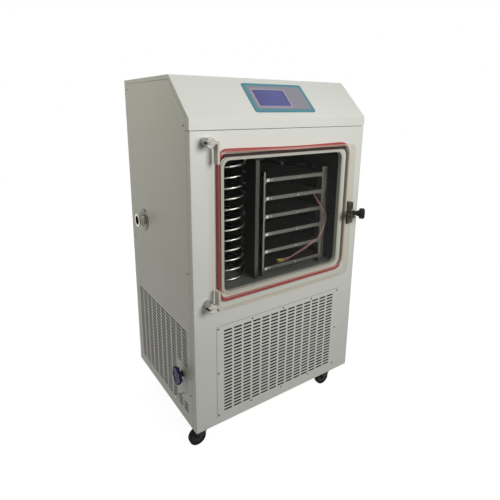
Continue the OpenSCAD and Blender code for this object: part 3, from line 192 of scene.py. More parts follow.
class DryerStudioSettings(bpy.types.PropertyGroup):
    """Lamps, floor and camera"""

    key_power: lamp_prop("Key light", "Power of the front light in watts", 28)
    top_power: lamp_prop("Top light", "Power of the light overhead in watts", 11)
    side_power: lamp_prop("Side light", "Power of the warm light at the left in watts", 7)
    rear_power: lamp_prop("Rear light", "Power of the light behind the right side in watts", 16)
    side_tone: colour_prop("Side tone", "Colour of the light at the left", (255, 251, 228))
    world_level: FloatProperty(
        name="Ambient", description="Strength of the light from all around", default=0.05, min=0, max=2
    )
    floor_size: length_prop("Floor", "Side of the square floor", 14.0, 4.0, 40.0)
    lens: FloatProperty(
        name="Lens", description="Focal length in millimetres", default=29.39, min=15, max=100
    )
    steps: IntProperty(
        name="Coil steps", description="Segments of one turn of the coil", default=48, min=16, max=96
    )


# ---- materials ----


class Shader:
    """A material being built: its principled surface, and short ways to add to its nodes."""

    def __init__(self, name):
        self.material = bpy.data.materials.new(name)
        self.material.use_nodes = True
        self.nodes = self.material.node_tree.nodes
        self.links = self.material.node_tree.links
        self.nodes.clear()
        self.output = self.add("OutputMaterial")
        self.surface = self.add("BsdfPrincipled")
        self.link(self.surface.outputs["BSDF"], self.output.inputs["Surface"])

    def add(self, kind, **values):
        node = self.nodes.new("ShaderNode" + kind)
        for name, value in values.items():
            setattr(node, name, value)
        return node

    def link(self, source, target):
        self.links.new(source, target)

    def set(self, **values):
        for name, value in values.items():
            self.surface.inputs[name.replace("_", " ")].default_value = value

    def axes(self, kind):
        """The three parts of a point's place, for kind Object, or of its facing, for kind Normal."""
        where = self.add("TexCoord")
        parts = self.add("SeparateXYZ")
        self.link(where.outputs[kind], parts.inputs["Vector"])
        return parts.outputs

    def compute(self, operation, first, second=None):
        """A Math node's result. first is a socket, second a socket, a number or nothing."""
        node = self.add("Math", operation=operation)
        self.link(first, node.inputs[0])
        if isinstance(second, bpy.types.NodeSocket):
            self.link(second, node.inputs[1])
        elif second is not None:
            node.inputs[1].default_value = second
        return node.outputs["Value"]

    def layer(self, factor, first, second):
        """A surface that goes from first to second as factor goes from 0 to 1."""
        mix = self.add("MixShader")
        self.link(factor, mix.inputs["Fac"])
        self.link(first, mix.inputs[1])
        self.link(second, mix.inputs[2])
        return mix.outputs["Shader"]

    def noise(self, scale, stretch=(1, 1, 1), detail=2.0, rough=0.5):
        """Noise over the piece's own coordinates. A small stretch draws it out along an axis."""
        where = self.add("TexCoord")
        mapping = self.add("Mapping")
        mapping.inputs["Scale"].default_value = stretch
        noise = self.add("TexNoise")
        noise.inputs["Scale"].default_value = scale
        noise.inputs["Detail"].default_value = detail
        noise.inputs["Roughness"].default_value = rough
        self.link(where.outputs["Object"], mapping.inputs["Vector"])
        self.link(mapping.outputs["Vector"], noise.inputs["Vector"])
        return noise.outputs["Fac"]

    def spread(self, source, low, high, start=0.3, end=0.7):
        """source from start to end as a number from low to high."""
        remap = self.add("MapRange")
        for name, value in zip(("From Min", "From Max", "To Min", "To Max"), (start, end, low, high)):
            remap.inputs[name].default_value = value
        self.link(source, remap.inputs["Value"])
        return remap.outputs["Result"]

    def blend(self, factor, first, second):
        """A colour from first to second as factor goes from 0 to 1."""
        mix = self.add("Mix", data_type="RGBA")
        self.link(factor, mix.inputs[0])
        for value, socket in ((first, mix.inputs[6]), (second, mix.inputs[7])):
            if isinstance(value, bpy.types.NodeSocket):
                self.link(value, socket)
            else:
                socket.default_value = (*value[:3], 1)
        return mix.outputs[2]

    def shade(self, source, base, dark, light):
        """Base colour times dark where source is low and times light where it is high."""
        low = [min(c * dark, 1) for c in base[:3]]
        high = [min(c * light, 1) for c in base[:3]]
        return self.blend(self.spread(source, 0, 1), low, high)

    def paint(self, socket):
        self.link(socket, self.surface.inputs["Base Color"])

    def roughen(self, source, low, high):
        self.link(self.spread(source, low, high), self.surface.inputs["Roughness"])

    def emboss(self, source, strength, distance):
        bump = self.add("Bump")
        bump.inputs["Strength"].default_value = strength
        bump.inputs["Distance"].default_value = distance
        self.link(source, bump.inputs["Height"])
        self.link(bump.outputs["Normal"], self.surface.inputs["Normal"])


def powder_coat(name, base, rough=0.42):
    """Sprayed powder coat: soft gloss over a fine orange peel, with a faint cloud in its tone."""
    shader = Shader(name)
    shader.paint(sprayed(shader, base, rough))
    return shader.material


def sprayed(shader, base, rough):
    """Gives a shader a powder coat's orange peel and returns the coat's clouded tone."""
    peel = shader.noise(420.0, detail=1.0)
    shader.roughen(peel, rough - 0.05, rough + 0.05)
    shader.emboss(peel, 0.12, 0.0002)
    return shader.shade(shader.noise(3.0, detail=3.0), base, 0.975, 1.015)


def slotted_coat(name, base, dark, axis, outwards):
    """Powder coat on the outside of a punched sheet: its slots' edges and its inside are dark, painted
    shade.
    outwards is 1 or -1, the way that the sheet's outside faces along axis."""
    shader = Shader(name)
    coat = sprayed(shader, base, 0.42)
    # Painted shade: faces that don't look outwards, the slots' edges and the sheet's inside, take the
    # dark colour
    outside = shader.compute("MULTIPLY", shader.axes("Normal")[axis], outwards)
    face = shader.spread(outside, 0, 1, 0.5, 0.8)
    shader.paint(shader.blend(face, dark, coat))
    shader.link(shader.spread(face, 0.05, 0.5, 0, 1), shader.surface.inputs["Specular IOR Level"])
    return shader.material


def brushed_steel(name, base, stretch, rough=0.3):
    """Steel with a brushed grain, drawn out along the axis where stretch is smallest."""
    shader = Shader(name)
    shader.set(Metallic=1.0)
    lines = shader.noise(260.0, stretch=stretch, detail=3.0, rough=0.6)
    shader.paint(shader.shade(lines, base, 0.88, 1.06))
    shader.roughen(lines, rough - 0.06, rough + 0.08)
    shader.emboss(lines, 0.1, 0.00015)
    return shader.material


def turned_steel(name, base, rough=0.18, smudge=0.1):
    """Bright turned or drawn steel with a few faint smudges."""
    shader = Shader(name)
    shader.set(Metallic=1.0)
    smear = shader.noise(28.0, detail=4.0)
    shader.paint(shader.shade(smear, base, 1 - smudge, 1.0))
    shader.roughen(smear, rough * 0.7, rough * 1.5)
    shader.emboss(shader.noise(700.0), 0.04, 0.0001)
    return shader.material


def chamber_steel(name, base, lit_floor_tone):
    """Dull mottled steel of the chamber's walls, its dark tone painted shade. What faces up, its floor
    above all, has a paler tone that is painted light, and is no mirror."""
    shader = Shader(name)
    shader.set(Metallic=1.0)
    mottle = shader.noise(34.0, detail=5.0, rough=0.65)
    # Painted shade: the walls' base tone is kept dark for the shade inside the chamber
    wall = shader.shade(mottle, base, 0.55, 1.35)
    # Painted light: what faces up takes the paler tone, lit through the mouth
    up = shader.spread(shader.axes("Normal")["Z"], 0, 1, 0.5, 0.9)
    shader.paint(shader.blend(up, wall, shader.shade(mottle, lit_floor_tone, 0.8, 1.15)))
    shader.link(shader.spread(up, 1, 0, 0, 1), shader.surface.inputs["Metallic"])
    shader.roughen(mottle, 0.24, 0.42)
    shader.emboss(mottle, 0.25, 0.0006)
    return shader.material


def plastic(name, base, rough=0.4, coat=0.0):
    """Moulded plastic with a fine spark-eroded grain."""
    shader = Shader(name)
    shader.paint(shader.shade(shader.noise(22.0, detail=3.0), base, 0.9, 1.12))
    shader.set(Specular_IOR_Level=0.22)
    pits = shader.noise(520.0, detail=1.0)
    shader.roughen(pits, rough - 0.07, rough + 0.07)
    shader.emboss(pits, 0.12, 0.0002)
    if coat:
        shader.set(Coat_Weight=coat)
    return shader.material


def rubber(name, base, rough=0.5):
    """Silicone or rubber: matt and faintly dusty."""
    shader = Shader(name)
    dust = shader.noise(46.0, detail=4.0)
    shader.paint(shader.shade(dust, base, 0.86, 1.14))
    shader.roughen(dust, rough - 0.08, rough + 0.1)
    shader.emboss(shader.noise(300.0), 0.1, 0.0002)
    return shader.material


def clear_sheet(name, tint, edge_tint):
    """Clear acrylic: see-through faces with a faint gloss, and edges with more body."""
    shader = Shader(name)
    flat = shader.compute("ABSOLUTE", shader.axes("Normal")["Y"])
    edge = shader.spread(flat, 1.0, 0.0, 0.2, 0.75)
    body = shader.add("BsdfTransparent")
    shader.link(shader.blend(edge, tint, edge_tint), body.inputs["Color"])
    gloss = shader.add("BsdfGlossy")
    gloss.inputs["Roughness"].default_value = 0.03
    fresnel = shader.add("Fresnel")
    fresnel.inputs["IOR"].default_value = 1.12
    faces = shader.compute("MULTIPLY", shader.spread(edge, 1, 0, 0, 1), fresnel.outputs["Fac"])
    sheet = shader.layer(faces, body.outputs["BSDF"], gloss.outputs["BSDF"])
    streak = shader.noise(60.0, stretch=(1, 0.1, 1), detail=3.0)
    shader.paint(shader.shade(streak, colour(206, 196, 180), 0.92, 1.06))
    shader.set(Roughness=0.12)
    share = shader.compute("MULTIPLY", edge, 0.1)
    whole = shader.layer(share, sheet, shader.surface.outputs["BSDF"])
    shader.link(whole, shader.output.inputs["Surface"])
    return shader.material


def printed_film(name, base, rough=0.35):
    """Printed film under a satin face: even colour with a very fine grain."""
    shader = Shader(name)
    shader.paint(shader.shade(shader.noise(700.0), base, 0.95, 1.05))
    shader.roughen(shader.noise(12.0), rough - 0.05, rough + 0.08)
    return shader.material


def lit_screen(name, base):
    """The touch screen: a dim, faintly clouded glow behind glossy glass."""
    shader = Shader(name)
    cloud = shader.noise(9.0, detail=1.0)
    tone = shader.shade(cloud, base, 0.9, 1.12)
    shader.paint(tone)
    shader.set(Roughness=0.12, Emission_Strength=0.18)
    shader.link(tone, shader.surface.inputs["Emission Color"])
    return shader.material


def foam(name, base):
    """Closed-cell foam: matt, with pores."""
    shader = Shader(name)
    pores = shader.add("TexVoronoi")
    pores.inputs["Scale"].default_value = 420.0
    where = shader.add("TexCoord")
    shader.link(where.outputs["Object"], pores.inputs["Vector"])
    shader.paint(shader.shade(shader.noise(60.0, detail=4.0), base, 0.8, 1.25))
    shader.set(Roughness=0.9)
    shader.emboss(pores.outputs["Distance"], 0.4, 0.0006)
    return shader.material


def wheel_material(name, tread, hub, centre, hub_radius):
    """A caster wheel: a rubber tread round a plastic hub, told apart by the distance to its middle."""
    shader = Shader(name)
    where = shader.add("TexCoord")
    offset = shader.add("VectorMath", operation="SUBTRACT")
    offset.inputs[1].default_value = centre
    shader.link(where.outputs["Object"], offset.inputs[0])
    reach = shader.add("VectorMath", operation="LENGTH")
    shader.link(offset.outputs["Vector"], reach.inputs[0])
    outside = shader.spread(reach.outputs["Value"], 0, 1, hub_radius, hub_radius + 0.0015)
    scuff = shader.noise(90.0, detail=4.0)
    shader.paint(
        shader.blend(
            outside, shader.shade(scuff, hub, 0.85, 1.2), shader.shade(scuff, tread, 0.8, 1.3)
        )
    )
    shader.link(shader.spread(outside, 0.35, 0.62, 0, 1), shader.surface.inputs["Roughness"])
    shader.set(Specular_IOR_Level=0.12)
    shader.emboss(shader.noise(360.0), 0.12, 0.0002)
    return shader.material


# ---- mesh helpers ----


def give_material(obj, material):
    """Sets the one material of a piece or of a CAD node."""
    if obj.material_slots:
        for slot in obj.material_slots:
            slot.material = material
    else:
        obj.data.materials.append(material)


def coat_nodes(material, *names):
    """Gives CAD nodes their finish."""
    for name in names:
        give_material(NODES[name], material)


def soften(width, *names, segments=2, angle=32):
    """Rounds the sharp edges of CAD nodes and shades them smooth, without touching their meshes."""
    for name in names:
        node = NODES[name]
        merge = node.modifiers.new("One face a plane", "DECIMATE")
        merge.decimate_type = "DISSOLVE"
        merge.angle_limit = math.radians(0.5)
        bevel = node.modifiers.new("Broken edges", "BEVEL")
        bevel.width = width
        bevel.segments = segments
        bevel.limit_method = "ANGLE"
        bevel.angle_limit = math.radians(angle)
        bevel.harden_normals = True
        bevel.use_clamp_overlap = True


def make_piece(name, mesh_builder, body, material, smooth=True):
    """A new piece from a bmesh filled by mesh_builder, riding on a body."""
    mesh = bpy.data.meshes.new(name)
    bm = bmesh.new()
    mesh_builder(bm)
    bmesh.ops.recalc_face_normals(bm, faces=bm.faces)
    if smooth:
        for face in bm.faces:
            face.smooth = True
    bm.to_mesh(mesh)
    bm.free()
    obj = bpy.data.objects.new(name, mesh)
    bpy.context.scene.collection.objects.link(obj)
    mesh.materials.append(material)
    if smooth:
        mesh.set_sharp_from_angle(angle=math.radians(38))
    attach(obj, body)
    return obj


def carried(points):
    """For each point of a path, two directions square to its heading that don't twist."""
    last = len(points) - 1
    headings = [
        (points[min(i + 1, last)] - points[max(i - 1, 0)]).normalized() for i in range(last + 1)
    ]
    side = headings[0].orthogonal().normalized()
    frames = []
    for heading in headings:
        side = (side - side.dot(heading) * heading).normalized()
        frames.append((side, heading.cross(side)))
    return frames


def add_ring(bm, centre, radius, side, other, steps):
    """A round of vertices about a centre, in the plane of two directions."""
    turns = [math.tau * k / steps for k in range(steps)]
    return [bm.verts.new(centre + radius * (math.cos(t) * side + math.sin(t) * other)) for t in turns]


def join_rings(bm, low, high):
    """Four-sided faces between two rings with as many vertices each."""
    size = len(low)
    for k in range(size):
        n = (k + 1) % size
        bm.faces.new((low[k], low[n], high[n], high[k]))


def add_run(bm, rings):
    """Joins rings one after another and closes both ends."""
    for low, high in zip(rings, rings[1:]):
        join_rings(bm, low, high)
    bm.faces.new(rings[0])
    bm.faces.new(rings[-1])


def add_tube(bm, points, radius, sides):
    """A round tube along a path, with flat ends."""
    frames = carried(points)
    add_run(bm, [add_ring(bm, point, radius, *frame, sides) for point, frame in zip(points, frames)])


def add_block(bm, low, high):
    """A box between two corners."""
    size = high - low
    matrix = Matrix.Translation((low + high) / 2) @ Matrix.Diagonal((*size, 1))
    bmesh.ops.create_cube(bm, size=1.0, matrix=matrix)


def add_turned(bm, profile, start, axis, steps):
    """A solid of revolution with a flat foot. profile lists (distance along the axis, radius) from
    the foot to the tip, where the radius is 0."""
    axis = axis.normalized()
    side = axis.orthogonal().normalized()
    other = axis.cross(side)
    rings = [
        add_ring(bm, start + axis * along, radius, side, other, steps)
        for along, radius in profile[:-1]
    ]
    tip = bm.verts.new(start + axis * profile[-1][0])
    for low, high in zip(rings, rings[1:]):
        join_rings(bm, low, high)
    last = rings[-1]
    for k in range(steps):
        bm.faces.new((last[k], last[(k + 1) % steps], tip))
    bm.faces.new(rings[0])


def round_rectangle(half_width, half_height, radius, corner_steps, edge_steps):
    """Points and outward directions round a rectangle with round corners, from its lower right."""
    path = []
    corners = ((1, 1, 0), (-1, 1, 90), (-1, -1, 180), (1, -1, 270))
    for index, (sx, sz, start) in enumerate(corners):
        centre = (sx * (half_width - radius), sz * (half_height - radius))
        for k in range(corner_steps + 1):
            turn = math.radians(start + 90 * k / corner_steps)
            out = (math.cos(turn), math.sin(turn))
            path.append((centre[0] + radius * out[0], centre[1] + radius * out[1], *out))
        nx, nz, _ = corners[(index + 1) % 4]
        out = path[-1][2:]
        target = (
            nx * (half_width - radius) + radius * out[0],
            nz * (half_height - radius) + radius * out[1],
        )
        begin = path[-1][:2]
        for k in range(1, edge_steps):
            t = k / edge_steps
            path.append(
                (begin[0] + (target[0] - begin[0]) * t, begin[1] + (target[1] - begin[1]) * t, *out)
            )
    return path


# ---- camera and cords ----

CAMERA_PLACE = Vector((-1.01446, -1.49762, 1.36880))
CAMERA_AZIMUTH = math.radians(-33.8095)
CAMERA_ELEVATION = math.radians(14.2102)
CAMERA_ROLL = math.radians(0.372)
CAMERA_SHIFT = (0.01598, -0.08043)

# Each probe's wire from its gland to its sleeve, in millimetres about the cabinet's own middle
WIRE_A_MM = [
    (276, -212, 893), (262, -214, 893), (240, -222, 890), (218, -236, 887), (204, -252, 884),
    (205, -266, 874), (219, -272, 851), (240, -275, 825), (256, -277, 798), (256, -277, 770),
    (246, -277, 738), (228, -276, 710), (198, -275, 688), (160, -270, 664), (128, -256, 642),
    (100, -240, 624), (72, -230, 616), (50, -228, 616),
]
WIRE_B_MM = [
    (276, -197, 893), (262, -200, 892), (244, -214, 886), (230, -232, 880), (220, -250, 874),
    (215, -272, 863), (219, -285, 839), (228, -286, 811), (238, -283, 782), (238, -283, 754),
    (224, -283, 722), (206, -282, 700), (176, -277, 682), (146, -268, 664), (118, -254, 644),
    (92, -246, 626), (68, -243, 616), (46, -244, 616),
]


def smooth_path(points, steps):
    """A smooth curve through every point, with steps stretches between two of them."""
    path = []
    last = len(points) - 1
    for i in range(last):
        a, b, c, d = (points[max(min(k, last), 0)] for k in (i - 1, i, i + 1, i + 2))
        for k in range(steps):
            t = k / steps
            path.append(
                0.5 * (2 * b + (c - a) * t + (2 * a - 5 * b + 4 * c - d) * t * t
                       + (3 * b - a - 3 * c + d) * t * t * t)
            )
    path.append(points[-1])
    return path


class DRYER_OT_camera(bpy.types.Operator):
    """Sets up the camera in front of the dryer's left corner"""

    bl_idname = "dryer.camera"
    bl_label = "Camera"

    def execute(self, context):
        data = bpy.data.cameras.new("View")
        data.lens = context.scene.dryer_studio.lens
        data.sensor_width = 36
        data.shift_x, data.shift_y = CAMERA_SHIFT
        data.clip_end = 60
        camera = bpy.data.objects.new("View", data)
        context.scene.collection.objects.link(camera)
        flat = math.cos(CAMERA_ELEVATION)
        back = Vector((
            math.sin(CAMERA_AZIMUTH) * flat,
            -math.cos(CAMERA_AZIMUTH) * flat,
            math.sin(CAMERA_ELEVATION),
        ))
        right = Vector((math.cos(CAMERA_AZIMUTH), math.sin(CAMERA_AZIMUTH), 0))
        up = back.cross(right)
        turn = Matrix.Rotation(CAMERA_ROLL, 3, back)
        right, up = turn @ right, turn @ up
        basis = Matrix((right, up, back)).transposed()
        camera.matrix_world = Matrix.Translation(CAMERA_PLACE) @ basis.to_4x4()
        context.scene.camera = camera
        return {"FINISHED"}


class DRYER_OT_probe_wires(bpy.types.Operator):
    """Makes the two temperature probes' wires and their sleeves"""

    bl_idname = "dryer.probe_wires"
    bl_label = "Probe wires"

    def execute(self, context):
        look = context.scene.dryer_chamber
        sleeve = plastic("Probe sleeve", look.tip, rough=0.35, coat=0.3)
        for letter, route, tone in (("a", WIRE_A_MM, look.wire_a), ("b", WIRE_B_MM, look.wire_b)):
            path = smooth_path([place(*p) for p in route], 4)
            cover = rubber("Probe wire " + letter, tone, rough=0.42)
            wire = self.wire_curve("probe_cable_" + letter, path, look.wire, cover)
            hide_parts("probe_wire_" + letter)
            tip = make_piece(
                "probe_sleeve_" + letter,
                lambda bm, path=path: self.sleeve(bm, path, look.wire),
                "cabinet", sleeve,
            )
            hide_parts("probe_tip_" + letter)
        return {"FINISHED"}

    def wire_curve(self, name, path, diameter, material):
        data = bpy.data.curves.new(name, "CURVE")
        data.dimensions = "3D"
        data.bevel_depth = diameter / 2
        data.bevel_resolution = 4
        data.use_fill_caps = True
        spline = data.splines.new("POLY")
        spline.points.add(len(path) - 1)
        for point, where in zip(spline.points, path):
            point.co = (*where, 1)
        spline.use_smooth = True
        data.materials.append(material)
        obj = bpy.data.objects.new(name, data)
        bpy.context.scene.collection.objects.link(obj)
        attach(obj, "cabinet")
        return obj

    def sleeve(self, bm, path, diameter):
        """A crimped sleeve that carries on from the wire and tapers to the probe's point."""
        axis = (path[-1] - path[-2]).normalized()
        r = diameter / 2
        profile = [
            (-0.003, r * 1.06), (-0.002, r * 1.3), (0.0003, r * 1.46), (0.006, r * 1.46),
            (0.007, r * 1.3), (0.0085, r * 1.3), (0.0095, r * 1.46), (0.0215, r * 1.46),
            (0.0228, r * 1.2), (0.0262, r * 0.7), (0.0272, r * 0.45), (0.0273, 0),
        ]
        add_turned(bm, profile, path[-1], axis, steps=20)


# ---- cabinet ----

# The pleated dark sheets behind the slotted sides, painted shade that keeps the surroundings from
# showing through the slots, each from its panel in to the frame's posts
SIDE_LO, SIDE_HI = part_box("left_side_panel")
FRAME_LO, FRAME_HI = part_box("inner_frame")
SHADE_FILTER_GAP = 0.0006
SHADE_FILTER_SHEET = 0.0008
SHADE_FILTER_PLEAT = 0.008
SHADE_FILTER_FRONT = SIDE_LO.y + 0.045
SHADE_FILTER_REAR = SIDE_HI.y - 0.03
SHADE_FILTER_LOW = SIDE_LO.z + 0.04
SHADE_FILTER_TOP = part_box("vent_panel")[1].z
SHADE_FILTERS = {
    "shade_filter_left": (SIDE_HI.x + SHADE_FILTER_GAP, FRAME_LO.x - SHADE_FILTER_GAP),
    "shade_filter_right": (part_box("right_side_panel")[0].x - SHADE_FILTER_GAP, FRAME_HI.x + SHADE_FILTER_GAP),
}
SLOTTED_PANELS = {
    "vent_panel": ("Y", -1),
    "left_side_panel": ("X", -1),
    "right_side_panel": ("X", 1),
}
# Painted shade for the slots' edges and the sheets' insides
SLOT_SHADE = colour(20, 20, 19)


class DRYER_OT_cabinet(bpy.types.Operator):
    """Powder-coats the cabinet's panels and finishes its frame, tray and screws"""

    bl_idname = "dryer.cabinet"
    bl_label = "Cabinet"

    def execute(self, context):
        look = context.scene.dryer_finish
        coat_nodes(powder_coat("Powder coat", look.coat), "front_panel", "hood")
        coat_nodes(powder_coat("Powder coat rear", look.coat), "rear_panel")
        for name, facing in SLOTTED_PANELS.items():
            coat_nodes(slotted_coat("Slotted coat " + name, look.coat, SLOT_SHADE, *facing), name)
            soften(0.0003, name, segments=1)
        # Painted shade: the frame and the tray are given a dark tone for the shade behind the slots
        coat_nodes(powder_coat("Frame paint and shade", look.inner_coat, 0.55), "inner_frame", "base_tray")
        coat_nodes(turned_steel("Screw steel", colour(96, 96, 92), 0.35), "cabinet_screws")
        soften(0.0008, "front_panel", "rear_panel", "base_tray")
        soften(0.0012, "hood")
        soften(0.0003, "cabinet_screws", segments=1)
        soften(0.002, "inner_frame")
        # Painted shade: near-black pleated sheets behind the side slots, where the inside lies in
        # shade
        felt = foam("Shade filter felt", colour(15, 15, 15))
        for name, span in SHADE_FILTERS.items():
            make_piece(
                name, lambda bm, span=span: self.filter(bm, *span), "cabinet", felt
            )
        return {"FINISHED"}

    def filter(self, bm, near, far):
        """A pleated dark sheet behind a side's slots, standing in for the shade there, from near to
        far in x.
        """
        count = round((SHADE_FILTER_REAR - SHADE_FILTER_FRONT) / SHADE_FILTER_PLEAT)
        thick = SHADE_FILTER_SHEET if far > near else -SHADE_FILTER_SHEET
        rows = []
        for k in range(2 * count + 1):
            y = SHADE_FILTER_FRONT + SHADE_FILTER_PLEAT * k / 2
            x = near if k % 2 else far - thick
            corners = (
                (x, SHADE_FILTER_LOW), (x + thick, SHADE_FILTER_LOW), (x + thick, SHADE_FILTER_TOP), (x, SHADE_FILTER_TOP),
            )
            rows.append([bm.verts.new((across, y, z)) for across, z in corners])
        add_run(bm, rows)


# ---- console ----

SLOPE_RISE = 0.146
SLOPE_RUN = 0.149
PANEL_MIDDLE = math.hypot(SLOPE_RISE, SLOPE_RUN) / 2 - 0.002
SCREEN_MIDDLE = PANEL_MIDDLE - 0.003
SCREEN_HEIGHT = 0.083
SCREEN_CLEAR = 0.001
BEZEL_EXTRA = 0.018
FIELD_HEIGHT = 0.122
BORDER_WIDTH = 0.015

# How far out of the slope the printed field starts, the bezel starts on it, and the bezel ends
FIELD_FOOT = 0.00305
FIELD_FACE = 0.0033
BEZEL_FACE = 0.0036

# A hole's edge is its plate's outline made this many times as large, then held within the hole
HOLE_PULL = 9


def on_slope(across, up, out):
    """A point on the sloped console: metres across from the cabinet's middle, up the slope from
    its foot and out of its face."""
    slope = math.atan2(SLOPE_RISE, SLOPE_RUN)
    foot = Vector((ORIGIN.x, HOOD_LO.y, HOOD_HI.z - SLOPE_RISE))
    along = Vector((0, math.cos(slope), math.sin(slope)))
    normal = Vector((0, -math.sin(slope), math.cos(slope)))
    return foot + Vector((across, 0, 0)) + up * along + out * normal


def add_slope_plate(bm, centre, size, radius, low, high, hole):
    """A thin plate on the console between two heights, with round corners and a square hole. The
    hole is given as its centre and its size."""
    outline = round_rectangle(size[0] / 2, size[1] / 2, radius, 6, 1)
    (cx, cy), (w, h) = hole
    rings = {}
    for out in (low, high):
        rings[out] = [bm.verts.new(on_slope(centre[0] + p[0], centre[1] + p[1], out)) for p in outline]
    join_rings(bm, rings[low], rings[high])
    inner = {}
    for out in (low, high):
        inner[out] = []
        for p in outline:
            x = max(-w / 2, min(w / 2, (p[0] + centre[0] - cx) * HOLE_PULL))
            y = max(-h / 2, min(h / 2, (p[1] + centre[1] - cy) * HOLE_PULL))
            inner[out].append(bm.verts.new(on_slope(cx + x, cy + y, out)))
    count = len(outline)
    for k in range(count):
        n = (k + 1) % count
        bm.faces.new((inner[low][k], inner[low][n], inner[high][n], inner[high][k]))
        for out in (low, high):
            bm.faces.new((rings[out][k], rings[out][n], inner[out][n], inner[out][k]))


class DRYER_OT_display(bpy.types.Operator):
    """Finishes the display panel and its screen and adds the printed field and the bezel"""

    bl_idname = "dryer.display"
    bl_label = "Display"

    def execute(self, context):
        look = context.scene.dryer_display
        coat_nodes(printed_film("Display border", look.border), "display_panel")
        soften(0.0006, "display_panel", "touch_screen")
        coat_nodes(lit_screen("Screen", look.screen), "touch_screen")
        lo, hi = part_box("display_panel")
        screen_lo, screen_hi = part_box("touch_screen")
        panel = ((lo.x + hi.x) / 2 - ORIGIN.x, PANEL_MIDDLE)
        screen = ((screen_lo.x + screen_hi.x) / 2 - ORIGIN.x, SCREEN_MIDDLE)
        width = screen_hi.x - screen_lo.x
        hole = (screen, (width + SCREEN_CLEAR, SCREEN_HEIGHT + SCREEN_CLEAR))
        field = (hi.x - lo.x - 2 * BORDER_WIDTH, FIELD_HEIGHT)
        bezel = (width + BEZEL_EXTRA, SCREEN_HEIGHT + BEZEL_EXTRA)
        make_piece(
            "display_field",
            lambda bm: add_slope_plate(bm, panel, field, 0.006, FIELD_FOOT, FIELD_FACE, hole),
            "cabinet", printed_film("Display field", look.field), smooth=False,
        )
        make_piece(
            "display_bezel",
            lambda bm: add_slope_plate(bm, screen, bezel, 0.003, FIELD_FACE, BEZEL_FACE, hole),
            "cabinet", printed_film("Display bezel", look.bezel), smooth=False,
        )
        return {"FINISHED"}


# ---- chamber ----


class DRYER_OT_chamber(bpy.types.Operator):
    """Finishes the chamber, its mouth flange, its insulation and the rack"""

    bl_idname = "dryer.chamber"
    bl_label = "Chamber"

    def execute(self, context):
        look = context.scene.dryer_finish
        coat_nodes(chamber_steel("Chamber steel", look.chamber, look.lit_chamber_floor), "chamber_shell")
        coat_nodes(foam("Insulation foam", colour(38, 38, 40)), "insulation_jacket")
        flange = turned_steel("Flange enamel", look.flange, 0.4, 0.04)
        flange.node_tree.nodes["Principled BSDF"].inputs["Metallic"].default_value = 0.0
        coat_nodes(flange, "mouth_flange")
        soften(0.0012, "mouth_flange", segments=3)
        soften(0.0006, "chamber_shell", "trap_baffle", "rack_frame", segments=1)
        coat_nodes(
            brushed_steel("Baffle steel", colour(74, 73, 68), (1, 1, 0.06), 0.32), "trap_baffle"
        )
        coat_nodes(
            brushed_steel("Rack steel", colour(122, 121, 112), (1, 1, 0.06), 0.28), "rack_frame"
        )
        coat_nodes(turned_steel("Stand steel", colour(44, 43, 39), 0.4), "coil_stand")
        bright = turned_steel("Bright steel", colour(150, 149, 142), 0.2)
        coat_nodes(bright, "wall_fittings", "oil_manifold")
        soften(0.0006, "wall_fittings", "coil_stand", "oil_manifold", segments=1)
        return {"FINISHED"}


class DRYER_OT_coil(bpy.types.Operator):
    """Winds the cold trap's coil as one smooth tube"""

    bl_idname = "dryer.coil"
    bl_label = "Cold-trap coil"

    start_angle = 236
    shell_wall = 0.003
    floor_gap = 0.002
    bend = 0.006

    def execute(self, context):
        look = context.scene.dryer_chamber
        lo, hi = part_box("trap_coil")
        radius = look.coil_tube / 2
        centre = Vector(((lo.x + hi.x) / 2, (lo.y + hi.y) / 2))
        turn_r = (hi.x - lo.x) / 2 - radius
        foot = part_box("chamber_shell")[0].z + self.shell_wall + radius + self.floor_gap
        steps = context.scene.dryer_studio.steps
        count = int(look.coil_turns * steps)
        path = []
        for k in range(count + 1):
            turn = math.radians(self.start_angle) + math.tau * look.coil_turns * k / count
            path.append(Vector((
                centre.x + turn_r * math.cos(turn),
                centre.y + turn_r * math.sin(turn),
                foot + look.coil_pitch * look.coil_turns * k / count,
            )))
        first, last = path[0], path[-1]
        low_end, high_start = foot - self.bend, last.z + self.bend
        tail_low = self.tail(first, lo.z, low_end)
        tail_high = self.tail(last, high_start, hi.z)
        steel = self.coil_steel(centre.y, turn_r)
        coil = make_piece(
            "cooling_coil",
            lambda bm: add_tube(bm, tail_low + path + tail_high, radius, 14),
            "cabinet", steel,
        )
        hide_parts("trap_coil")
        return {"FINISHED"}

    def tail(self, end, low, high):
        """An upright stretch of three points in line with an end of the coil."""
        return [Vector((end.x, end.y, low + t * (high - low))) for t in (0, 0.5, 1)]

    def coil_steel(self, middle, reach):
        """Bright tube at the front of the trap, with painted shade that darkens its colour towards its
        back.
        """
        shader = Shader("Coil steel")
        shader.set(Metallic=1.0)
        smear = shader.noise(28.0, detail=4.0)
        depth = shader.axes("Object")["Y"]
        # Painted shade: the tube's colour turns dark towards the back of the trap, where it lies in
        # shade
        back = shader.spread(depth, 0, 1, middle - reach * 0.45, middle + reach * 0.1)
        bright = shader.shade(smear, colour(188, 187, 180), 0.8, 1.0)
        shader.paint(shader.blend(back, bright, colour(46, 45, 41)))
        shader.roughen(smear, 0.17, 0.36)
        shader.emboss(shader.noise(700.0), 0.04, 0.0001)
        return shader.material


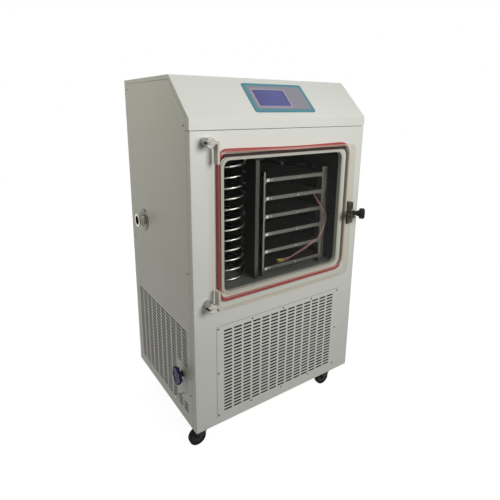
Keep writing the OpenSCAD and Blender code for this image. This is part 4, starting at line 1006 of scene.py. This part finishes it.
class DRYER_OT_shelves(bpy.types.Operator):
    """Finishes the shelves and adds the clips and studs on their front edges"""

    bl_idname = "dryer.shelves"
    bl_label = "Shelves"

    clip_across = (0.004, 0.018)
    clip_out = 0.0022
    clip_margin = 0.002
    stud_past_middle = 0.018
    stud_by_clip = 0.030
    sunk = 0.001

    # A stud's profile: how far out, and how thick from its axis
    stud = [(0, 0.0035), (0.003, 0.0035), (0.0042, 0.0024), (0.0044, 0)]

    def execute(self, context):
        look = context.scene.dryer_finish
        metal = brushed_steel("Shelf metal", look.shelf, (0.06, 1, 1), 0.36)
        names = ["shelf_%d" % i for i in range(1, 7)]
        coat_nodes(metal, *names)
        soften(0.0008, *names)
        bright = turned_steel("Shelf fittings", look.steel, 0.25)
        make_piece("shelf_fittings", lambda bm: self.fittings(bm, names), "cabinet", bright)
        return {"FINISHED"}

    def fittings(self, bm, names):
        """On each shelf's front edge: a clip at the left end, a stud by it and one near the middle."""
        for name in names:
            lo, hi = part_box(name)
            mid = (lo.z + hi.z) / 2
            clip_left, clip_right = self.clip_across
            add_block(
                bm,
                Vector((lo.x + clip_left, lo.y - self.clip_out, lo.z + self.clip_margin)),
                Vector((lo.x + clip_right, lo.y + self.sunk, hi.z - self.clip_margin)),
            )
            for x in ((lo.x + hi.x) / 2 + self.stud_past_middle, lo.x + self.stud_by_clip):
                foot = Vector((x, lo.y + self.sunk, mid))
                add_turned(bm, self.stud, foot, Vector((0, -1, 0)), 16)


# ---- door ----


class DRYER_OT_gasket(bpy.types.Operator):
    """Moulds the door's red gasket and the darker bead inside it, which carries painted shade and
    light
    """

    bl_idname = "dryer.gasket"
    bl_label = "Door gasket"

    corner = 0.055

    # Where the painted glare, shade and highlight change: in from the latch side, down from the top or
    # up from the foot
    latch_glare_in = (0.028, 0.016)
    latch_glare_bead_in = (0.036, 0.024)
    dark_bead_down = (0.075, 0.05)
    lit_foot_up = (0.02, 0.04)
    lip_highlight_down = (0.012, 0.010)

    # The band and the bead: how far off the panel, how far short of the gasket's depth, how far
    # apart, and the bead's share of that depth
    back_gap = 0.0002
    top_gap = 0.0003
    bead_gap = 0.0006
    bead_share = 0.7
    shoulder = 0.004
    wave_shift = 0.06

    def execute(self, context):
        look = context.scene.dryer_seal
        lo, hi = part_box("door_gasket")
        gasket = make_piece(
            "door_seal", lambda bm: self.band(bm, look, lo, hi), "cabinet",
            self.gasket_rubber(look, hi),
        )
        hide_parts("door_gasket")
        bead = make_piece(
            "door_seal_shade_bead", lambda bm: self.bead(bm, look, lo, hi), "cabinet",
            self.bead_rubber(look, lo.z, hi),
        )
        return {"FINISHED"}

    def bead_rubber(self, look, foot, top):
        """Silicone with painted light and shade: dark over the mouth where the plate shades the gap,
        pale below it where it is lit, and pale at the latch with the plate's glare.
        """
        shader = Shader("Gasket shade bead")
        dust = shader.noise(46.0, detail=4.0)
        parts = shader.axes("Object")
        # Painted light and shade: dark over the mouth, red by the hinges, pale near the foot and at
        # the latch
        side = shader.spread(parts["X"], 0, 1, *(top.x - inset for inset in self.latch_glare_bead_in))
        upper = shader.spread(parts["Z"], 0, 1, *(top.z - down for down in self.dark_bead_down))
        lower = shader.spread(parts["Z"], 1, 0, *(foot + up for up in self.lit_foot_up))
        mid = shader.blend(upper, shader.shade(dust, look.side_red, 0.86, 1.14), look.bead)
        run = shader.blend(lower, mid, look.lip)
        shader.paint(shader.blend(side, run, look.latch_glare_bead))
        shader.roughen(dust, 0.42, 0.6)
        shader.set(Specular_IOR_Level=0.2)
        return shader.material

    def gasket_rubber(self, look, top):
        """Red silicone with a pale lip over the mouth, a painted highlight, and pale towards the
        latch, where the plate's glare is painted on it.
        """
        shader = Shader("Gasket rubber")
        dust = shader.noise(46.0, detail=4.0)
        parts = shader.axes("Object")
        # Painted reflection: towards the latch the rubber takes the pale of the plate's glare
        side = shader.spread(parts["X"], 0, 1, *(top.x - inset for inset in self.latch_glare_in))
        # Painted highlight: a pale band just under the red top stands for the lit edge over the mouth
        edge = top.z - look.top_red
        upper = shader.spread(parts["Z"], 1, 0, edge - 0.0005, edge + 0.0005)
        lower = shader.spread(parts["Z"], 0, 1, *(edge - down for down in self.lip_highlight_down))
        lip = shader.compute("MULTIPLY", upper, lower)
        red = shader.shade(dust, look.rubber, 0.84, 1.14)
        both = shader.blend(lip, red, look.lip)
        pale = shader.shade(dust, look.pale, 0.94, 1.05)
        shader.paint(shader.blend(side, both, pale))
        shader.roughen(dust, 0.36, 0.52)
        shader.emboss(shader.noise(300.0), 0.1, 0.0002)
        shader.set(Subsurface_Weight=0.1, Subsurface_Scale=0.004)
        return shader.material

    def outline(self, lo, hi):
        return round_rectangle((hi.x - lo.x) / 2, (hi.z - lo.z) / 2, self.corner, 12, 40)

    def band(self, bm, look, lo, hi):
        """A flattened band with soft shoulders, rising in a slow wave along its top."""
        depth = FRONT_LO.y - lo.y - self.top_gap
        path = self.outline(lo, hi)
        centre = (lo + hi) / 2
        half_w = (hi.x - lo.x) / 2
        rises = []
        sections = []
        for x, _, nx, nz in path:
            t = (x + half_w) / (2 * half_w)
            wave = look.wave * (math.cos(math.tau * (t - self.wave_shift)) - 1) / 2
            rises.append(wave * max(0.0, nz))
            inset, width = self.band_span(look, nx, nz)
            sections.append([
                (inset + inward, out) for inward, out in self.section(width, depth, self.shoulder)
            ])
        self.sweep(bm, path, rises, sections, centre)

    def band_span(self, look, nx, nz):
        """How far in the band starts and how wide it is, where its outside faces (nx, nz)."""
        inset = look.hinge_inset * max(0.0, -nx) ** 2
        return inset, look.width + (look.top_width - look.width) * max(0.0, nz) ** 2

    def bead(self, bm, look, lo, hi):
        """A low bead along the gasket's inner edge, wider over the mouth, a dark strip that carries
        the painted shade of the gap inside the gasket.
        """
        depth = (FRONT_LO.y - lo.y) * self.bead_share
        path = self.outline(lo, hi)
        sections = []
        for _, _, nx, nz in path:
            inset, band = self.band_span(look, nx, nz)
            start = inset + band + self.bead_gap + look.wave * max(0.0, nz) ** 2
            width = look.side_bead + (look.top_bead - look.wave - look.side_bead) * max(0, nz) ** 2
            sections.append([
                (start + inward, out) for inward, out in self.section(width, depth, width * 0.3)
            ])
        self.sweep(bm, path, [0.0] * len(path), sections, (lo + hi) / 2)

    def sweep(self, bm, path, rises, sections, centre):
        """A closed ring with a section of its own and a rise at each point of the path."""
        rings = []
        for (x, z, nx, nz), rise, section in zip(path, rises, sections):
            rings.append([
                bm.verts.new((
                    centre.x + x - nx * inward,
                    FRONT_LO.y - depth,
                    centre.z + z - nz * inward + rise,
                ))
                for inward, depth in section
            ])
        for low, high in zip(rings, rings[1:] + rings[:1]):
            join_rings(bm, low, high)

    def section(self, width, depth, shoulder):
        """A closed section with round shoulders: (inwards, away from the panel)."""
        points = [(width, self.back_gap), (0.0, self.back_gap)]
        for side, start in ((shoulder, 180), (width - shoulder, 90)):
            for k in range(6):
                turn = math.radians(start - 90 * k / 5)
                points.append((
                    side + shoulder * math.cos(turn),
                    depth - shoulder + shoulder * math.sin(turn),
                ))
        return points


class DRYER_OT_door(bpy.types.Operator):
    """Finishes the clear door, its hinges and its lug"""

    bl_idname = "dryer.door"
    bl_label = "Door"

    def execute(self, context):
        look = context.scene.dryer_finish
        coat_nodes(clear_sheet("Clear acrylic", look.clear, look.clear_edge), "door_plate")
        soften(0.0012, "door_plate", segments=3)
        white = plastic("Hinge bar", colour(206, 200, 190), rough=0.3)
        coat_nodes(white, "hinge_bars")
        soften(0.001, "hinge_bars")
        bright = turned_steel("Hinge steel", colour(176, 175, 170), 0.16)
        coat_nodes(bright, "hinge_posts", "pivot_pins")
        soften(0.0008, "hinge_posts", "pivot_pins", segments=3)
        dark = brushed_steel("Latch steel", colour(66, 67, 57), (1, 0.06, 1), 0.34)
        coat_nodes(dark, "latch_bracket", "door_lug")
        soften(0.0008, "latch_bracket", "door_lug")
        black = plastic("Knob plastic", look.plastic, rough=0.4)
        coat_nodes(black, "clamp_knob")
        soften(0.0015, "clamp_knob", segments=3, angle=24)
        coat_nodes(plastic("Bolt plastic", look.plastic, rough=0.42), "swing_bolt")
        soften(0.001, "swing_bolt", segments=3)
        return {"FINISHED"}


# ---- services ----


class DRYER_OT_services(bpy.types.Operator):
    """Finishes the vacuum port, the drain valve and its nozzle on the left side"""

    bl_idname = "dryer.services"
    bl_label = "Port and drain"

    def execute(self, context):
        look = context.scene.dryer_finish
        bright = turned_steel("Port steel", colour(214, 212, 200), 0.14)
        coat_nodes(bright, "vacuum_port", "drain_nozzle")
        coat_nodes(turned_steel("Rosette steel", colour(96, 95, 88), 0.12), "port_rosette")
        coat_nodes(turned_steel("Valve steel", colour(150, 148, 140), 0.25), "drain_valve_body")
        coat_nodes(plastic("Handwheel plastic", look.handwheel, rough=0.42),
                   "drain_handwheel")
        soften(0.0007, "vacuum_port", "port_rosette", "drain_nozzle", "drain_valve_body")
        soften(0.0018, "drain_handwheel", segments=3, angle=26)
        return {"FINISHED"}


# ---- machinery ----


class DRYER_OT_machinery(bpy.types.Operator):
    """Finishes what stands behind the panels"""

    bl_idname = "dryer.machinery"
    bl_label = "Machinery"

    def execute(self, context):
        look = context.scene.dryer_finish
        coat_nodes(powder_coat("Compressor paint", colour(18, 18, 19), 0.45), "compressors")
        # Painted shade: the condenser's fins, the oil tank and the electrical box are given dark tones
        # for the shade behind the slots
        coat_nodes(brushed_steel("Fin stock", colour(24, 24, 24), (40, 1, 0.1), 0.5), "condenser")
        coat_nodes(plastic("Motor plastic", colour(30, 30, 32)), "fan_motor")
        coat_nodes(plastic("Fan plastic", colour(34, 34, 35)), "fan_blades")
        coat_nodes(brushed_steel("Tank steel", colour(72, 72, 70), (0.06, 1, 1), 0.4), "oil_tank")
        coat_nodes(powder_coat("Box paint and shade", colour(96, 97, 94)), "electrical_box")
        coat_nodes(plastic("Gland plastic", colour(24, 24, 25)), "cable_gland")
        soften(0.001, "fan_motor", "fan_blades", "cable_gland", "oil_tank", "electrical_box")
        soften(0.001, "compressors", segments=1)
        return {"FINISHED"}


HUB_RADIUS = 0.027


class DRYER_OT_casters(bpy.types.Operator):
    """Finishes the swivel casters"""

    bl_idname = "dryer.casters"
    bl_label = "Casters"

    def execute(self, context):
        look = context.scene.dryer_finish
        steel = plastic("Caster paint", colour(12, 12, 12), 0.5)
        coat_nodes(steel, "caster_plates")
        soften(0.0008, "caster_plates")
        for corner in ("front_left", "front_right", "rear_left", "rear_right"):
            coat_nodes(steel, "fork_" + corner)
            soften(0.0008, "fork_" + corner)
            lo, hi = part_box("wheel_" + corner)
            wheel = wheel_material(
                "Caster wheel " + corner, colour(9, 9, 9), colour(26, 26, 27),
                tuple((lo + hi) / 2), HUB_RADIUS,
            )
            coat_nodes(wheel, "wheel_" + corner)
            soften(0.0008, "wheel_" + corner)
        return {"FINISHED"}


# ---- stage ----


class DRYER_OT_stage(bpy.types.Operator):
    """Makes the pale floor, the soft lamps and the plain surroundings"""

    bl_idname = "dryer.stage"
    bl_label = "Studio"

    def execute(self, context):
        look = context.scene.dryer_studio
        self.floor(look.floor_size)
        middle = (0.0, 0.0, 0.95)
        self.lamp("Key", (0.2, -2.0, 1.7), middle, 1.1, look.key_power)
        self.lamp("Top", (-0.2, -0.4, 3.2), middle, 2.0, look.top_power)
        self.lamp("Side", (-1.8, 0.3, 1.9), middle, 1.0, look.side_power, look.side_tone)
        self.lamp("Rear", (1.7, 1.9, 2.0), middle, 1.4, look.rear_power)
        self.surroundings(context.scene, look.world_level)
        context.scene.view_settings.view_transform = "Standard"
        return {"FINISHED"}

    def floor(self, size):
        mesh = bpy.data.meshes.new("floor")
        bm = bmesh.new()
        bmesh.ops.create_grid(bm, x_segments=1, y_segments=1, size=size / 2)
        bm.to_mesh(mesh)
        bm.free()
        floor = bpy.data.objects.new("floor", mesh)
        bpy.context.scene.collection.objects.link(floor)
        shader = Shader("Floor")
        grit = shader.noise(2.0)
        shader.paint(shader.shade(grit, (0.16, 0.16, 0.155), 0.97, 1.03))
        shader.set(Roughness=0.8)
        white = shader.add("Emission")
        white.inputs["Strength"].default_value = 0.94
        lit = shader.add("AddShader")
        shader.link(shader.surface.outputs["BSDF"], lit.inputs[0])
        shader.link(white.outputs["Emission"], lit.inputs[1])
        seen = seen_directly(shader.nodes, shader.links)
        mix = shader.layer(seen, shader.surface.outputs["BSDF"], lit.outputs["Shader"])
        shader.link(mix, shader.output.inputs["Surface"])
        shader.material.cycles.emission_sampling = "NONE"
        mesh.materials.append(shader.material)

    def lamp(self, name, where, target, size, power, tone=(1, 1, 1)):
        data = bpy.data.lights.new(name, "AREA")
        data.color = tone
        data.shape = "DISK"
        data.size = size
        data.energy = power
        lamp = bpy.data.objects.new(name, data)
        bpy.context.scene.collection.objects.link(lamp)
        lamp.location = where
        aim = Vector(target) - Vector(where)
        lamp.rotation_euler = aim.to_track_quat("-Z", "Y").to_euler()

    def surroundings(self, scene, level):
        world = bpy.data.worlds.new("Surroundings")
        scene.world = world
        world.use_nodes = True
        nodes, links = world.node_tree.nodes, world.node_tree.links
        nodes.clear()
        output = nodes.new("ShaderNodeOutputWorld")
        light = nodes.new("ShaderNodeBackground")
        light.inputs["Color"].default_value = (1, 1, 0.985, 1)
        light.inputs["Strength"].default_value = level
        white = nodes.new("ShaderNodeBackground")
        white.inputs["Color"].default_value = (1, 1, 1, 1)
        mix = nodes.new("ShaderNodeMixShader")
        links.new(seen_directly(nodes, links), mix.inputs["Fac"])
        links.new(light.outputs["Background"], mix.inputs[1])
        links.new(white.outputs["Background"], mix.inputs[2])
        links.new(mix.outputs["Shader"], output.inputs["Surface"])


def seen_directly(nodes, links):
    """1 for rays from the camera, from a mirror or through glass, else 0."""
    path = nodes.new("ShaderNodeLightPath")
    seen = path.outputs["Is Camera Ray"]
    for kind in ("Is Glossy Ray", "Is Transmission Ray"):
        either = nodes.new("ShaderNodeMath")
        either.operation = "MAXIMUM"
        links.new(seen, either.inputs[0])
        links.new(path.outputs[kind], either.inputs[1])
        seen = either.outputs["Value"]
    return seen


# ---- panel and registration ----

OPERATORS = (
    DRYER_OT_camera,
    DRYER_OT_probe_wires,
    DRYER_OT_cabinet,
    DRYER_OT_display,
    DRYER_OT_chamber,
    DRYER_OT_coil,
    DRYER_OT_shelves,
    DRYER_OT_gasket,
    DRYER_OT_door,
    DRYER_OT_services,
    DRYER_OT_machinery,
    DRYER_OT_casters,
    DRYER_OT_stage,
)
GROUPS = {
    "dryer_finish": DryerFinishSettings,
    "dryer_seal": DryerSealSettings,
    "dryer_chamber": DryerChamberSettings,
    "dryer_display": DryerDisplaySettings,
    "dryer_studio": DryerStudioSettings,
}


class DRYER_PT_panel(bpy.types.Panel):
    """Lists the dryer's settings and the operators that dress it"""

    bl_idname = "DRYER_PT_panel"
    bl_label = "Freeze Dryer"
    bl_space_type = "VIEW_3D"
    bl_region_type = "UI"
    bl_category = "Freeze Dryer"

    def draw(self, context):
        for name, group in GROUPS.items():
            box = self.layout.box()
            box.label(text=group.__doc__)
            for prop in group.__annotations__:
                box.prop(getattr(context.scene, name), prop)
        for operator in OPERATORS:
            self.layout.operator(operator.bl_idname)


def register():
    for cls in (*GROUPS.values(), *OPERATORS, DRYER_PT_panel):
        bpy.utils.register_class(cls)
    for name, group in GROUPS.items():
        setattr(bpy.types.Scene, name, PointerProperty(type=group))


def unregister():
    for name in GROUPS:
        delattr(bpy.types.Scene, name)
    for cls in reversed((*GROUPS.values(), *OPERATORS, DRYER_PT_panel)):
        bpy.utils.unregister_class(cls)


def main():
    register()
    for operator in OPERATORS:
        group, name = operator.bl_idname.split(".")
        getattr(getattr(bpy.ops, group), name)()


if __name__ == "__main__":
    main()
